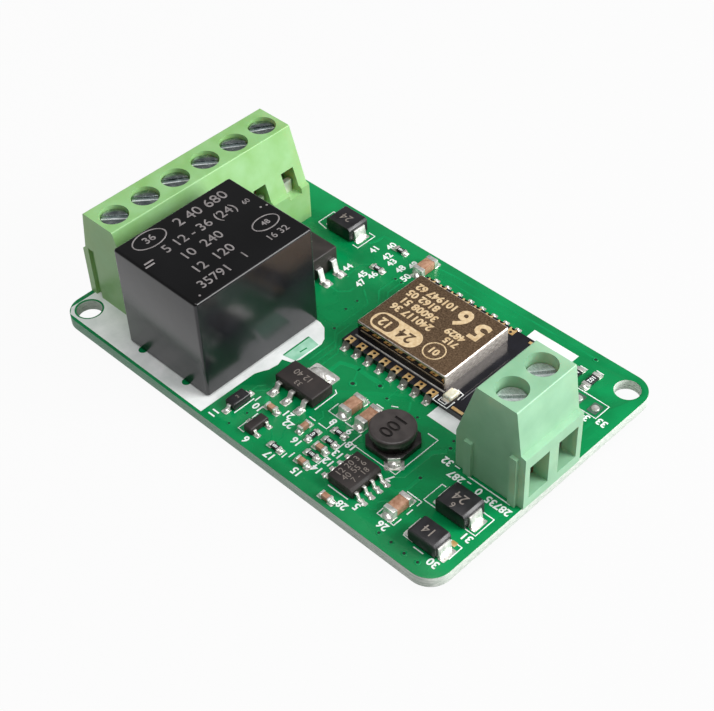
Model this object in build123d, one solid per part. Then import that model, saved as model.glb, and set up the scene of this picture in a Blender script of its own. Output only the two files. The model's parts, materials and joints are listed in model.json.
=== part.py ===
from build123d import *
from math import cos, hypot, radians, sin
import os

# Single-channel smart relay module: a circuit board that carries a relay, two screw terminal
# blocks, a radio module and a small power supply.
# Frame: origin at the middle of the board's underside, +X towards the power terminal,
# +Y towards the board's back edge, +Z up through the components. Millimetres.

# Board
board_thickness = 1.6
board_corner_radius = 3.0
mount_hole_radius = 1.7
mount_hole_inset = 2.7
pin_hole_clearance = 0.1
pin_tail = 1.8
solder_height = 0.9
solder_land = 0.35
solder_tip_share = 0.5

# Screw terminals, both blocks
pole_pitch = 5.08
cell_wall = 0.9
screw_radius = 1.5
screw_head_radius = 1.85
screw_head_height = 1.5
screw_slot_width = 0.85
screw_slot_depth = 0.5
output_slot_angles = (46, 58, 54, 50, 55, 48)
power_slot_angles = (50, 44)
screw_edge_break = 0.15
screw_hole_clearance = 0.1
screw_end_gap = 0.1
head_seat_gap = 0.05
shelf_thickness = 0.5
thread_clearance = 0.05
clamp_clearance = 0.1
clamp_floor = 0.8
clamp_top = 1.6
clamp_length = 4.4
clamp_window_height = 4.2
clamp_rest_height = 0.7
contact_bar_thickness = 0.7
contact_bar_drop = 0.2
contact_bar_width = 2.6
contact_leg_width = 1.0
contact_tail = 1.3
contact_tail_width = 1.5
contact_tail_height = 1.9
wire_entry_width = 3.4
wire_entry_height = 5.1
wire_entry_floor = 1.4
back_window_width = 2.2
back_window_height = 3.8
rib_proud = 0.5
rib_clearance = 0.05
rib_wall_gap = 0.15
front_rib_width = 1.05
front_rib_height = 7.9
back_rib_width = 1.1
back_rib_height = 5.6
block_edge_radius = 0.2
block_step_drop = 0.25

# Output terminal block: six poles along the left edge
output_poles = 6
output_height = 13.9
output_head_recess = 0.45
output_top_front = 3.15
output_top_back = 2.65
output_slope_front = 4.1
output_band_front = 4.68
output_band_height = 7.4
output_back_height = 5.9
output_back_slope = 5.3
output_base_back = 5.9
output_end_margin = 5.26

# Power terminal block: two poles at the right edge
power_poles = 2
power_height = 14.7
power_head_recess = 1.5
power_top_front = 2.85
power_top_back = 2.98
power_slope_front = 3.7
power_band_front = 4.45
power_band_height = 8.2
power_back_height = 6.0
power_back_slope = 5.75
power_base_back = 5.8
power_overhang = 0.2
power_front_margin = 15.1

# Relay case and base
relay_gap = 0.7
relay_length = 19.0
relay_width = 15.2
relay_height = 15.4
relay_front_margin = 2.55
relay_standoff = 0.3
relay_foot_radius = 0.6
relay_wall = 0.7
relay_top_wall = 0.8
relay_edge_radius = 0.4
relay_base_thickness = 1.5

# Relay magnet and coil
yoke_thickness = 1.2
yoke_wall_share = 0.125
yoke_side_step = 0.3
core_share = 0.341
pole_share = 0.636
pole_thickness = 0.7
bobbin_flange = 0.8
bobbin_hub_wall = 0.6
bobbin_yoke_gap = 0.2
bobbin_side_share = 0.152
bobbin_ear_reach = 1.8
bobbin_ear_width = 1.4
winding_inset = 0.4
coil_clearance = 0.05
coil_pin_size = 0.6
coil_pin_inset = 0.6

# Relay armature and contacts
armature_thickness = 1.0
armature_side_step = 0.6
armature_overhang = 0.8
armature_air_gap = 0.05
armature_open_angle = 3.4
spring_thickness = 0.3
spring_width = 3.6
spring_tip = 1.0
spring_tail_setback = 0.4
rivet_radius = 0.6
rivet_height = 0.3
contact_radius = 1.2
contact_height = 0.4
contact_gap = 0.15
contact_wall_share = 0.125
contact_bobbin_gap = 1.2
contact_top_gap = 0.15
contact_strip = 0.5
contact_strip_width = 1.2
contact_arm_width = 2.0
contact_pin_wall_gap = 0.9
common_contact_width = 3.2
common_contact_drop = 1.0

# Radio module
relay_to_radio = 5.25
radio_end_gap = 0.2
radio_length = 24.0
radio_width = 16.0
radio_thickness = 0.8
radio_back_margin = 4.4
edge_pad_count = 8
edge_pad_pitch = 2.0
edge_pad_start = 0.95
edge_pad_width = 1.1
edge_pad_length = 1.15
edge_pad_hole = 0.22
edge_pad_setback = 0.8
edge_notch_radius = 0.35
edge_solder_reach = 0.55
pad_thickness = 0.05
shield_length = 15.0
shield_width = 12.0
shield_height = 2.2
shield_wall = 0.2
shield_offset = 0.7
shield_edge_radius = 0.3
processor_size = 5.0
processor_height = 0.85
memory_length = 5.3
memory_width = 4.0
memory_height = 1.2
chip_spacing = 1.4
status_led_length = 1.65
status_led_width = 1.25
status_led_height = 0.6
status_led_end_gap = 1.27
status_led_side_gap = 1.75

# Power inductor
inductor_disc_radius = 2.9
inductor_height = 3.0
inductor_disc_thickness = 0.9
inductor_flange_size = 5.8
inductor_flange_height = 0.8
inductor_flange_chamfer = 1.1
inductor_corner_angle = 45
inductor_post_radius = 1.4
inductor_coat_inset = 0.35
inductor_edge_radius = 0.25
inductor_ear_width = 1.5
inductor_foot_length = 0.6
inductor_ear_height = 1.1
inductor_place_shares = (0.553, 0.609)

# Moulded packages: body length along a row of leads, body width across it, then the leads
lead_thickness = 0.2
body_lift = 0.1
body_edge_break = 0.12
body_bevel = 0.35
converter_length = 4.9
converter_width = 3.9
converter_height = 1.5
converter_lead_count = 4
converter_lead_pitch = 1.27
converter_lead_width = 0.42
converter_lead_reach = 1.1
converter_place_shares = (0.569, 0.262)
regulator_length = 6.5
regulator_width = 3.5
regulator_height = 1.65
regulator_lead_count = 3
regulator_lead_pitch = 2.3
regulator_lead_width = 0.75
regulator_lead_reach = 1.6
regulator_tab_width = 3.1
regulator_place_shares = (0.191, 0.566)
transistor_length = 2.9
transistor_width = 1.3
transistor_height = 1.0
transistor_lead_count = 2
transistor_lead_pitch = 1.9
transistor_lead_width = 0.42
transistor_lead_reach = 0.55
transistor_place_shares = (0.200, 0.160)
isolator_length = 4.6
isolator_width = 6.5
isolator_height = 3.5
isolator_lead_count = 2
isolator_lead_pitch = 2.54
isolator_lead_width = 0.9
isolator_lead_reach = 1.6
isolator_place_shares = (0.327, 0.353)

# Diodes
surge_length = 4.4
surge_width = 3.5
surge_height = 2.3
surge_place_shares = (0.877, 0.485)
back_surge_place_shares = (0.279, 0.789)
rectifier_length = 4.1
rectifier_width = 2.75
rectifier_height = 2.1
rectifier_place_shares = (0.889, 0.214)
strap_thickness = 0.22
strap_width = 2.0
strap_foot = 1.0
strap_slant = 0.3
strap_rise_share = 0.75
signal_length = 2.7
signal_width = 1.6
signal_height = 1.1
signal_lead_width = 0.6
signal_lead_reach = 0.6
signal_place_shares = (0.083, 0.221)

# Chip capacitors and resistors, each place with its turn in degrees
chip_end_thickness = 0.05
chip_solder_reach = 0.25
chip_solder_rise_share = 0.6
chip_end_share = 0.2
small_chip_length = 1.6
small_chip_width = 0.8
small_capacitor_height = 0.8
small_resistor_height = 0.45
large_chip_length = 3.2
large_chip_width = 1.6
large_capacitor_height = 1.25
corner_resistor_length = 2.6
corner_resistor_width = 1.1
corner_resistor_height = 0.5
along_angle = 0
across_angle = 90
small_capacitor_place_shares = (
    (0.184, 0.313, along_angle),
    (0.313, 0.340, across_angle),
    (0.412, 0.286, along_angle),
    (0.412, 0.141, along_angle),
    (0.562, 0.049, along_angle),
)
small_resistor_place_shares = (
    (0.307, 0.119, along_angle),
    (0.355, 0.330, across_angle),
    (0.413, 0.362, along_angle),
    (0.408, 0.447, along_angle),
    (0.410, 0.221, along_angle),
)
back_resistor_place_shares = (
    (0.684, 0.874, along_angle),
    (0.695, 0.630, along_angle),
)
large_capacitor_place_shares = (
    (0.364, 0.643, across_angle),
    (0.434, 0.641, across_angle),
    (0.739, 0.272, across_angle),
)
back_capacitor_place_shares = (
    (0.921, 0.846, across_angle),
)
corner_resistor_place_shares = (
    (0.338, 0.708, across_angle),
    (0.129, 0.670, across_angle),
)

# Header holes filled with solder
header_count = 2
header_pitch = 2.54
header_hole_radius = 0.45
header_dome_radius = 0.55
header_dome_height = 0.15
header_place_shares = (0.645, 0.501)

overrun = 1.0


def block(x_low, x_high, y_low, y_high, z_low, z_high):
    centre = Pos((x_low + x_high) / 2, (y_low + y_high) / 2, (z_low + z_high) / 2)
    return centre * Box(x_high - x_low, y_high - y_low, z_high - z_low)


def rod(x, y, radius, z_low, z_high):
    return Pos(x, y, (z_low + z_high) / 2) * Cylinder(radius, z_high - z_low)


def prism_along_y(outline, width):
    """Extrude an outline of (x, z) points, half of the width to each side of y = 0."""
    face = make_face(Polyline(*outline, close=True))
    return extrude(Plane.XZ.offset(-width / 2) * face, width)


def save(name, *shapes):
    solids = [solid for shape in shapes for solid in shape.solids()]
    export_step(Compound(solids), f"parts/{name}.step")


# Layout: what stands along the board sets its length, and the row of output poles its width
output_length = output_poles * pole_pitch
power_length = power_poles * pole_pitch
board_width = output_length + 2 * output_end_margin
board_length = (
    output_band_front + output_base_back + relay_gap + relay_width + relay_to_radio
    + radio_length + radio_end_gap + power_base_back + power_band_front - power_overhang
)
board_right = board_length / 2
board_back = board_width / 2
output_x = output_band_front - board_right
power_x = board_right + power_overhang - power_band_front
power_y = power_front_margin + power_length / 2 - board_back
relay_x = output_x + output_base_back + relay_gap + relay_width / 2
relay_y = relay_front_margin + relay_length / 2 - board_back
radio_left = relay_x + relay_width / 2 + relay_to_radio
radio_back = board_back - radio_back_margin
radio_front = radio_back - radio_width
top = board_thickness
below_board = -board_thickness - pin_tail

# The three open areas that hold the small parts, each as its low and high X and its low and high Y
supply_area = (relay_x + relay_width / 2, board_right, -board_back, radio_front)
sensing_area = (output_x + output_base_back, radio_left, relay_y + relay_length / 2, board_back)
corner_area = (radio_left + radio_length, board_right, power_y + power_length / 2, board_back)


def place(area, shares):
    x_low, x_high, y_low, y_high = area
    return x_low + shares[0] * (x_high - x_low), y_low + shares[1] * (y_high - y_low)


# Screw terminals: each block is made with its screws on x = 0, its wires entering from +X
# and its foot on z = 0
window_low = clamp_rest_height + clamp_floor
window_high = window_low + clamp_window_height
bar_high = window_high - contact_bar_drop
bar_low = bar_high - contact_bar_thickness
clamp_high = window_high + clamp_top
cavity_half_width = (pole_pitch - cell_wall) / 2
cavity_half_length = clamp_length / 2 + clamp_clearance
leg_back = cavity_half_length + contact_bar_thickness
screw_hole_radius = screw_head_radius + screw_hole_clearance

output_outline = [
    (-output_top_back, output_height), (output_top_front, output_height),
    (output_slope_front, output_band_height + block_step_drop), (output_band_front, output_band_height),
    (output_band_front, 0), (-output_base_back, 0),
    (-output_base_back, output_back_height - block_step_drop),
    (-output_back_slope, output_back_height),
]
power_outline = [
    (-power_top_back, power_height), (power_top_front, power_height),
    (power_slope_front, power_band_height + block_step_drop), (power_band_front, power_band_height),
    (power_band_front, 0), (-power_base_back, 0),
    (-power_base_back, power_back_height - block_step_drop),
    (-power_back_slope, power_back_height),
]


def pole_offsets(poles):
    return [(index - (poles - 1) / 2) * pole_pitch for index in range(poles)]


def end_ribs(y_low, y_high, grow):
    """The two upright ribs on a block's end face; grow makes the grooves that take them."""
    front = cavity_half_length + rib_wall_gap
    back = -leg_back - rib_wall_gap
    front_rib = block(front - grow, front + front_rib_width + grow, y_low, y_high, -grow,
                      front_rib_height + grow)
    back_rib = block(back - back_rib_width - grow, back + grow, y_low, y_high, -grow, back_rib_height + grow)
    return front_rib + back_rib


def terminal_housing(outline, poles, height, head_recess):
    half = poles * pole_pitch / 2
    depth = max(abs(x) for x, z in outline) + overrun
    head_seat = height - head_recess - screw_head_height - head_seat_gap
    housing = prism_along_y(outline, 2 * half)
    housing = fillet(housing.edges().filter_by(Axis.Y).group_by(Axis.Z)[-1], block_edge_radius)
    housing += end_ribs(-half - rib_proud, -half, 0)
    housing -= end_ribs(half - rib_proud - rib_clearance, half + overrun, rib_clearance)
    for y in pole_offsets(poles):
        housing -= rod(0, y, screw_hole_radius, head_seat, height + overrun)
        housing -= rod(0, y, screw_radius + screw_hole_clearance, 0, height)
        housing -= block(-cavity_half_length, cavity_half_length, y - cavity_half_width,
                         y + cavity_half_width, -overrun, head_seat - shelf_thickness)
        housing -= block(-leg_back, 0, y - contact_bar_width / 2, y + contact_bar_width / 2, -overrun,
                         bar_high)
        housing -= block(0, depth, y - wire_entry_width / 2, y + wire_entry_width / 2, wire_entry_floor,
                         wire_entry_floor + wire_entry_height)
        housing -= block(-depth, 0, y - back_window_width / 2, y + back_window_width / 2, bar_low,
                         bar_low + back_window_height)
    return housing


def terminal_pin(y):
    """The fixed bar that a wire is pressed against, the leg that goes through the board, and the
    upturned tail that shows in the block's back window."""
    bar = block(-leg_back, clamp_length / 2, y - contact_bar_width / 2, y + contact_bar_width / 2, bar_low,
                bar_high)
    leg = block(-leg_back, -cavity_half_length, y - contact_leg_width / 2, y + contact_leg_width / 2,
                below_board, bar_low)
    tail_end = -leg_back - contact_tail
    tail = block(tail_end, -leg_back, y - contact_tail_width / 2, y + contact_tail_width / 2, bar_low,
                 bar_high)
    upturn = block(tail_end, tail_end + contact_bar_thickness, y - contact_tail_width / 2,
                   y + contact_tail_width / 2, bar_low, bar_low + contact_tail_height)
    return bar + leg + tail + upturn


def clamp_screw(y, height, head_recess, slot_angle):
    head_top = height - head_recess
    head_low = head_top - screw_head_height
    head = rod(0, y, screw_head_radius, head_low, head_top)
    head = chamfer(head.edges().group_by(Axis.Z)[-1], screw_edge_break)
    shank = rod(0, y, screw_radius, bar_high + screw_end_gap, head_low)
    shank = chamfer(shank.edges().group_by(Axis.Z)[0], screw_edge_break)
    slot = block(-screw_hole_radius, screw_hole_radius, -screw_slot_width / 2, screw_slot_width / 2,
                 head_top - screw_slot_depth, head_top + overrun)
    return head + shank - Pos(0, y, 0) * Rot(0, 0, slot_angle) * slot


def wire_clamp(y):
    """The cage that the screw draws up: a wire goes through its window, under the fixed bar."""
    half_length = clamp_length / 2
    half_width = cavity_half_width - clamp_clearance
    half_window = screw_radius + thread_clearance
    clamp = block(-half_length, half_length, y - half_width, y + half_width, clamp_rest_height, clamp_high)
    clamp -= block(-half_length - overrun, half_length + overrun, y - half_window, y + half_window,
                   window_low, window_high)
    return clamp - rod(0, y, half_window, bar_high, clamp_high + overrun)


def build_terminal(name, outline, poles, height, head_recess, slot_angles, location):
    save(f"{name}_terminal_housing", location * terminal_housing(outline, poles, height, head_recess))
    save(f"{name}_terminal_pins", *[location * terminal_pin(y) for y in pole_offsets(poles)])
    for number, y in enumerate(pole_offsets(poles), start=1):
        slot_angle = slot_angles[number % len(slot_angles)]
        save(f"{name}_clamp_screw_{number}", location * clamp_screw(y, height, head_recess, slot_angle))
        save(f"{name}_wire_clamp_{number}", location * wire_clamp(y))


# Relay, made about the middle of its footprint with the board's top at z = 0
case_half_width = relay_width / 2 - relay_wall
case_half_length = relay_length / 2 - relay_wall
case_high = relay_height - relay_top_wall
relay_floor = relay_standoff + relay_base_thickness
yoke_outer = case_half_length * (1 - 2 * yoke_wall_share)
yoke_inner = yoke_outer - yoke_thickness
contact_row = case_half_length * (2 * contact_wall_share - 1)
bobbin_back = yoke_inner - bobbin_yoke_gap
bobbin_front = contact_row + contact_arm_width / 2 + contact_bobbin_gap
bobbin_half_width = case_half_width * (1 - 2 * bobbin_side_share)
core_y = (bobbin_back + bobbin_front) / 2
winding_radius = min(bobbin_back - core_y, bobbin_half_width) - winding_inset
core_radius = winding_radius * core_share
pole_radius = winding_radius * pole_share
hub_radius = core_radius + coil_clearance + bobbin_hub_wall
pin_row = case_half_width - contact_pin_wall_gap
coil_pin_y = bobbin_back - coil_pin_inset
common_pin_y = yoke_outer + contact_strip / 2

# Heights come down from the cover: closed contact, moving contact, armature, pole face
contact_swing = (yoke_outer - contact_row + contact_radius) * sin(radians(armature_open_angle))
moving_stack = armature_thickness + spring_thickness + contact_height
closed_face = case_high - contact_top_gap - contact_strip - contact_height
hinge_height = closed_face - contact_gap - contact_swing - moving_stack * cos(radians(armature_open_angle))
pole_face = hinge_height - armature_air_gap
armature_high = hinge_height + armature_thickness
spring_high = armature_high + spring_thickness
open_face = armature_high - contact_height - contact_gap
bobbin_low = relay_floor + yoke_thickness
bobbin_high = pole_face - pole_thickness


def relay_pin_sections():
    """Centre and size of each relay pin: two coil pins, open contact, closed contact, common."""
    coil = [(side * pin_row, coil_pin_y, coil_pin_size, coil_pin_size) for side in (-1, 1)]
    fixed = [(side * pin_row, contact_row, contact_strip, contact_strip_width) for side in (1, -1)]
    return coil + fixed + [(0, common_pin_y, contact_strip_width, contact_strip)]


def pin_bar(section, z_low, z_high):
    x, y, x_size, y_size = section
    return block(x - x_size / 2, x + x_size / 2, y - y_size / 2, y + y_size / 2, z_low, z_high)


def relay_case():
    case = block(-relay_width / 2, relay_width / 2, -relay_length / 2, relay_length / 2, relay_standoff,
                 relay_height)
    outer_edges = case.edges().filter_by(Axis.Z) + case.edges().group_by(Axis.Z)[-1]
    case = fillet(outer_edges, relay_edge_radius)
    return case - block(-case_half_width, case_half_width, -case_half_length, case_half_length, 0, case_high)


def relay_base():
    base = block(-case_half_width, case_half_width, -case_half_length, case_half_length, relay_standoff,
                 relay_floor)
    for side_x in (-1, 1):
        for side_y in (-1, 1):
            foot_x = side_x * pin_row / 2
            foot_y = side_y * (case_half_length - 2 * relay_foot_radius)
            base += rod(foot_x, foot_y, relay_foot_radius, 0, relay_standoff)
    for section in relay_pin_sections():
        base -= pin_bar(section, 0, relay_floor + overrun)
    return base


def relay_yoke():
    """The L-shaped iron: a foot under the bobbin and a post that the armature rocks on."""
    half_width = bobbin_half_width - yoke_side_step
    foot = block(-half_width, half_width, bobbin_front, yoke_inner, relay_floor, bobbin_low)
    return foot + block(-half_width, half_width, yoke_inner, yoke_outer, relay_floor, pole_face)


def relay_core():
    return (rod(0, core_y, core_radius, bobbin_low, bobbin_high)
            + rod(0, core_y, pole_radius, bobbin_high, pole_face))


def relay_bobbin():
    bobbin = rod(0, core_y, hub_radius, bobbin_low, bobbin_high)
    for z_low in (bobbin_low, bobbin_high - bobbin_flange):
        bobbin += block(-bobbin_half_width, bobbin_half_width, bobbin_front, bobbin_back, z_low,
                        z_low + bobbin_flange)
    ear = bobbin_half_width + bobbin_ear_reach
    bobbin += block(-ear, ear, coil_pin_y - bobbin_ear_width / 2, coil_pin_y + bobbin_ear_width / 2,
                    bobbin_low, bobbin_low + bobbin_flange)
    return bobbin - rod(0, core_y, core_radius + coil_clearance, 0, relay_height)


def relay_winding():
    coil = rod(0, core_y, winding_radius, bobbin_low + bobbin_flange, bobbin_high - bobbin_flange)
    return coil - rod(0, core_y, hub_radius + coil_clearance, 0, relay_height)


def opened(shape):
    """Tip a moving piece from its closed place to the place at rest, about the yoke's top edge."""
    hinge = Axis((0, yoke_outer, hinge_height), (1, 0, 0))
    return shape.rotate(hinge, -armature_open_angle)


def relay_armature():
    half_width = bobbin_half_width - armature_side_step
    return opened(block(-half_width, half_width, core_y - pole_radius - armature_overhang, yoke_outer,
                        hinge_height, armature_high))


def moving_spring():
    leaf = block(-spring_width / 2, spring_width / 2, contact_row - contact_radius - spring_tip / 2,
                 yoke_outer - spring_tail_setback, armature_high, spring_high)
    for side in (-1, 1):
        leaf += rod(side * spring_width / 4, (core_y + yoke_outer) / 2, rivet_radius, spring_high,
                    spring_high + rivet_height)
    leaf += rod(0, contact_row, contact_radius, armature_high - contact_height, spring_high + contact_height)
    return opened(leaf)


def fixed_contact(section, face, side):
    """A strip that rises beside the coil and reaches to the contact row; side is +1 below, -1 above."""
    x, y, x_size, y_size = section
    seat = face - side * contact_height
    arm_back = seat - side * contact_strip
    inner_x = x - x_size / 2 if x > 0 else x + x_size / 2
    end_x = -contact_radius if x > 0 else contact_radius
    arm = block(min(inner_x, end_x), max(inner_x, end_x), y - contact_arm_width / 2,
                y + contact_arm_width / 2, min(seat, arm_back), max(seat, arm_back))
    button = rod(0, y, contact_radius, min(seat, face), max(seat, face))
    return pin_bar(section, below_board, max(seat, arm_back)) + arm + button


def common_contact():
    plate = block(-common_contact_width / 2, common_contact_width / 2, yoke_outer,
                  yoke_outer + contact_strip, relay_floor, pole_face - common_contact_drop)
    return plate + pin_bar(relay_pin_sections()[-1], below_board, relay_floor)


def build_relay():
    location = Pos(relay_x, relay_y, top)
    pins = relay_pin_sections()
    save("relay_cover", location * relay_case())
    save("relay_base", location * relay_base())
    save("relay_yoke", location * relay_yoke())
    save("relay_core", location * relay_core())
    save("relay_bobbin", location * relay_bobbin())
    save("relay_coil_winding", location * relay_winding())
    save("relay_coil_pins", *[location * pin_bar(pin, below_board, bobbin_low) for pin in pins[:2]])
    save("relay_armature", location * relay_armature())
    save("relay_moving_contact_spring", location * moving_spring())
    save("relay_open_contact", location * fixed_contact(pins[2], open_face, 1))
    save("relay_closed_contact", location * fixed_contact(pins[3], closed_face, -1))
    save("relay_common_contact", location * common_contact())


# Radio module: a small board with half-round notches along both long edges
radio_top = top + radio_thickness
shield_left = radio_left + shield_offset
shield_front = (radio_front + radio_back - shield_width) / 2
edge_pad_centres = [radio_left + edge_pad_start + index * edge_pad_pitch for index in range(edge_pad_count)]
radio_sides = ((radio_front, 1), (radio_back, -1))


def radio_board():
    board = block(radio_left, radio_left + radio_length, radio_front, radio_back, top, radio_top)
    for x in edge_pad_centres:
        for y, inward in radio_sides:
            board -= rod(x, y, edge_notch_radius, 0, radio_top + overrun)
    return board


def radio_pads():
    pad_high = radio_top + pad_thickness
    pads = []
    for x in edge_pad_centres:
        for y, inward in radio_sides:
            inner = y + inward * edge_pad_length
            pad = block(x - edge_pad_width / 2, x + edge_pad_width / 2, min(y, inner), max(y, inner),
                        radio_top, pad_high)
            pad -= rod(x, y, edge_notch_radius, 0, pad_high + overrun)
            pad -= rod(x, y + inward * edge_pad_setback, edge_pad_hole, 0, pad_high + overrun)
            pads.append(pad)
    return pads


def radio_solder():
    """A wedge of solder from the board up the module's edge at each notch."""
    joints = []
    for x in edge_pad_centres:
        for y, inward in radio_sides:
            outline = [(0, top), (edge_solder_reach, top), (0, radio_top)]
            wedge = prism_along_y(outline, edge_pad_width)
            joints.append(Pos(x, y, 0) * Rot(0, 0, -90 * inward) * wedge)
    return joints


def radio_shield():
    can_high = radio_top + shield_height
    can = block(shield_left, shield_left + shield_length, shield_front, shield_front + shield_width,
                radio_top, can_high)
    outer_edges = can.edges().filter_by(Axis.Z) + can.edges().group_by(Axis.Z)[-1]
    can = fillet(outer_edges, shield_edge_radius)
    return can - block(shield_left + shield_wall, shield_left + shield_length - shield_wall,
                       shield_front + shield_wall, shield_front + shield_width - shield_wall,
                       top, can_high - shield_wall)


def radio_chips():
    """The processor and the memory chip, side by side under the shield."""
    y = shield_front + shield_width / 2
    left = shield_left + chip_spacing
    second = left + processor_size + chip_spacing
    return [
        block(left, left + processor_size, y - processor_size / 2, y + processor_size / 2, radio_top,
              radio_top + processor_height),
        block(second, second + memory_length, y - memory_width / 2, y + memory_width / 2, radio_top,
              radio_top + memory_height),
    ]


def status_led():
    x = shield_left + shield_length + status_led_end_gap
    y = radio_front + status_led_side_gap
    led = block(x - status_led_width / 2, x + status_led_width / 2, y - status_led_length / 2,
                y + status_led_length / 2, radio_top, radio_top + status_led_height)
    return chamfer(led.edges().group_by(Axis.Z)[-1], body_edge_break)


def build_radio_module():
    save("radio_board", radio_board())
    save("radio_pads", *radio_pads())
    save("radio_solder_joints", *radio_solder())
    save("radio_shield", radio_shield())
    save("radio_chips", *radio_chips())
    save("radio_status_led", status_led())


# Circuit board, with a hole for every pin and the solder under it
header_x, header_y = place(corner_area, header_place_shares)
header_places = [(header_x - index * header_pitch, header_y) for index in range(header_count)]


def board_pin_sections():
    leg = cavity_half_length + contact_bar_thickness / 2
    places = [(output_x + leg, y) for y in pole_offsets(output_poles)]
    places += [(power_x - leg, power_y + y) for y in pole_offsets(power_poles)]
    sections = [(x, y, contact_bar_thickness, contact_leg_width) for x, y in places]
    for x, y, x_size, y_size in relay_pin_sections():
        sections.append((relay_x + x, relay_y + y, x_size, y_size))
    return sections


def circuit_board():
    board = block(-board_right, board_right, -board_back, board_back, 0, top)
    board = fillet(board.edges().filter_by(Axis.Z), board_corner_radius)
    for side in (-1, 1):
        board -= rod(side * (board_right - mount_hole_inset), side * (board_back - mount_hole_inset),
                     mount_hole_radius, -overrun, top + overrun)
    for x, y, x_size, y_size in board_pin_sections():
        board -= rod(x, y, hypot(x_size, y_size) / 2 + pin_hole_clearance, -overrun, top + overrun)
    for x, y in header_places:
        board -= rod(x, y, header_hole_radius, -overrun, top + overrun)
    return board


def pin_solder():
    cones = []
    for section in board_pin_sections():
        x, y, x_size, y_size = section
        wide = hypot(x_size, y_size) / 2 + pin_hole_clearance + solder_land
        cone = Pos(x, y, -solder_height / 2) * Cone(wide * solder_tip_share, wide, solder_height)
        cones.append(cone - pin_bar(section, -pin_tail, overrun))
    return cones


def header_solder():
    plugs = []
    rise = header_dome_height
    for x, y in header_places:
        dome = Pos(x, y, top + rise / 2) * Cone(header_dome_radius, header_hole_radius, rise)
        under = Pos(x, y, -rise / 2) * Cone(header_hole_radius, header_dome_radius, rise)
        plugs.append(dome + under + rod(x, y, header_hole_radius, 0, top))
    return plugs


def build_circuit_board():
    save("circuit_board", circuit_board())
    save("board_solder_joints", *pin_solder(), *header_solder())


# Surface parts, each made about its own middle with its foot on z = 0
def placed(shapes, area, shares, turn=along_angle):
    x, y = place(area, shares)
    location = Pos(x, y, top) * Rot(0, 0, turn)
    return [location * shape for shape in shapes]


def moulded_body(length, width, height):
    """A package body with its length along Y."""
    body = block(-width / 2, width / 2, -length / 2, length / 2, body_lift, height)
    return chamfer(body.edges().group_by(Axis.Z)[-1], body_edge_break)


def bevelled_body(length, width, low, height, sides):
    """A package body along Y whose top is cut back along its X edges: 1 is +X and -1 is -X."""
    body = block(-width / 2, width / 2, -length / 2, length / 2, low, height)
    for side in sides:
        edges = body.edges().filter_by(Axis.Y).group_by(Axis.Z)[-1].sort_by(Axis.X)
        body = chamfer(edges[-1 if side > 0 else 0], body_bevel)
    return body


def lead_row(count, pitch, body_width, body_height, reach, width):
    """Leads that leave the body's +X wall at half its height, step down and end flat on the board."""
    shoulder = body_height / 2
    bend = lead_thickness / 2
    outline = [
        (0, shoulder), (0, shoulder + lead_thickness), (reach / 4 + bend, shoulder + lead_thickness),
        (reach / 2 + bend, lead_thickness), (reach, lead_thickness), (reach, 0), (reach / 2 - bend, 0),
        (reach / 4, shoulder),
    ]
    lead = prism_along_y(outline, width)
    return [Pos(body_width / 2, (index - (count - 1) / 2) * pitch, 0) * lead for index in range(count)]


def mirrored_ends(shapes):
    return shapes + [Rot(0, 0, 180) * shape for shape in shapes]


def build_converter():
    leads = lead_row(converter_lead_count, converter_lead_pitch, converter_width, converter_height,
                     converter_lead_reach, converter_lead_width)
    body = bevelled_body(converter_length, converter_width, body_lift, converter_height, (1,))
    save("converter_chip_body", *placed([body], supply_area, converter_place_shares))
    save("converter_chip_leads", *placed(mirrored_ends(leads), supply_area, converter_place_shares))


def build_regulator():
    """Three leads face the board's front edge and the wide tab faces the back."""
    leads = lead_row(regulator_lead_count, regulator_lead_pitch, regulator_width, regulator_height,
                     regulator_lead_reach, regulator_lead_width)
    tab = lead_row(1, 0, regulator_width, regulator_height, regulator_lead_reach, regulator_tab_width)
    leads.append(Rot(0, 0, 180) * tab[0])
    body = moulded_body(regulator_length, regulator_width, regulator_height)
    save("regulator_body", *placed([body], supply_area, regulator_place_shares, -across_angle))
    save("regulator_leads", *placed(leads, supply_area, regulator_place_shares, -across_angle))


def build_transistor():
    leads = lead_row(transistor_lead_count, transistor_lead_pitch, transistor_width, transistor_height,
                     transistor_lead_reach, transistor_lead_width)
    single = lead_row(1, 0, transistor_width, transistor_height, transistor_lead_reach,
                      transistor_lead_width)
    leads.append(Rot(0, 0, 180) * single[0])
    body = moulded_body(transistor_length, transistor_width, transistor_height)
    save("transistor_body", *placed([body], supply_area, transistor_place_shares))
    save("transistor_leads", *placed(leads, supply_area, transistor_place_shares))


def build_isolator():
    leads = lead_row(isolator_lead_count, isolator_lead_pitch, isolator_width, isolator_height,
                     isolator_lead_reach, isolator_lead_width)
    body = moulded_body(isolator_length, isolator_width, isolator_height)
    save("opto_isolator_body", *placed([body], sensing_area, isolator_place_shares))
    save("opto_isolator_leads", *placed(mirrored_ends(leads), sensing_area, isolator_place_shares))


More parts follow.
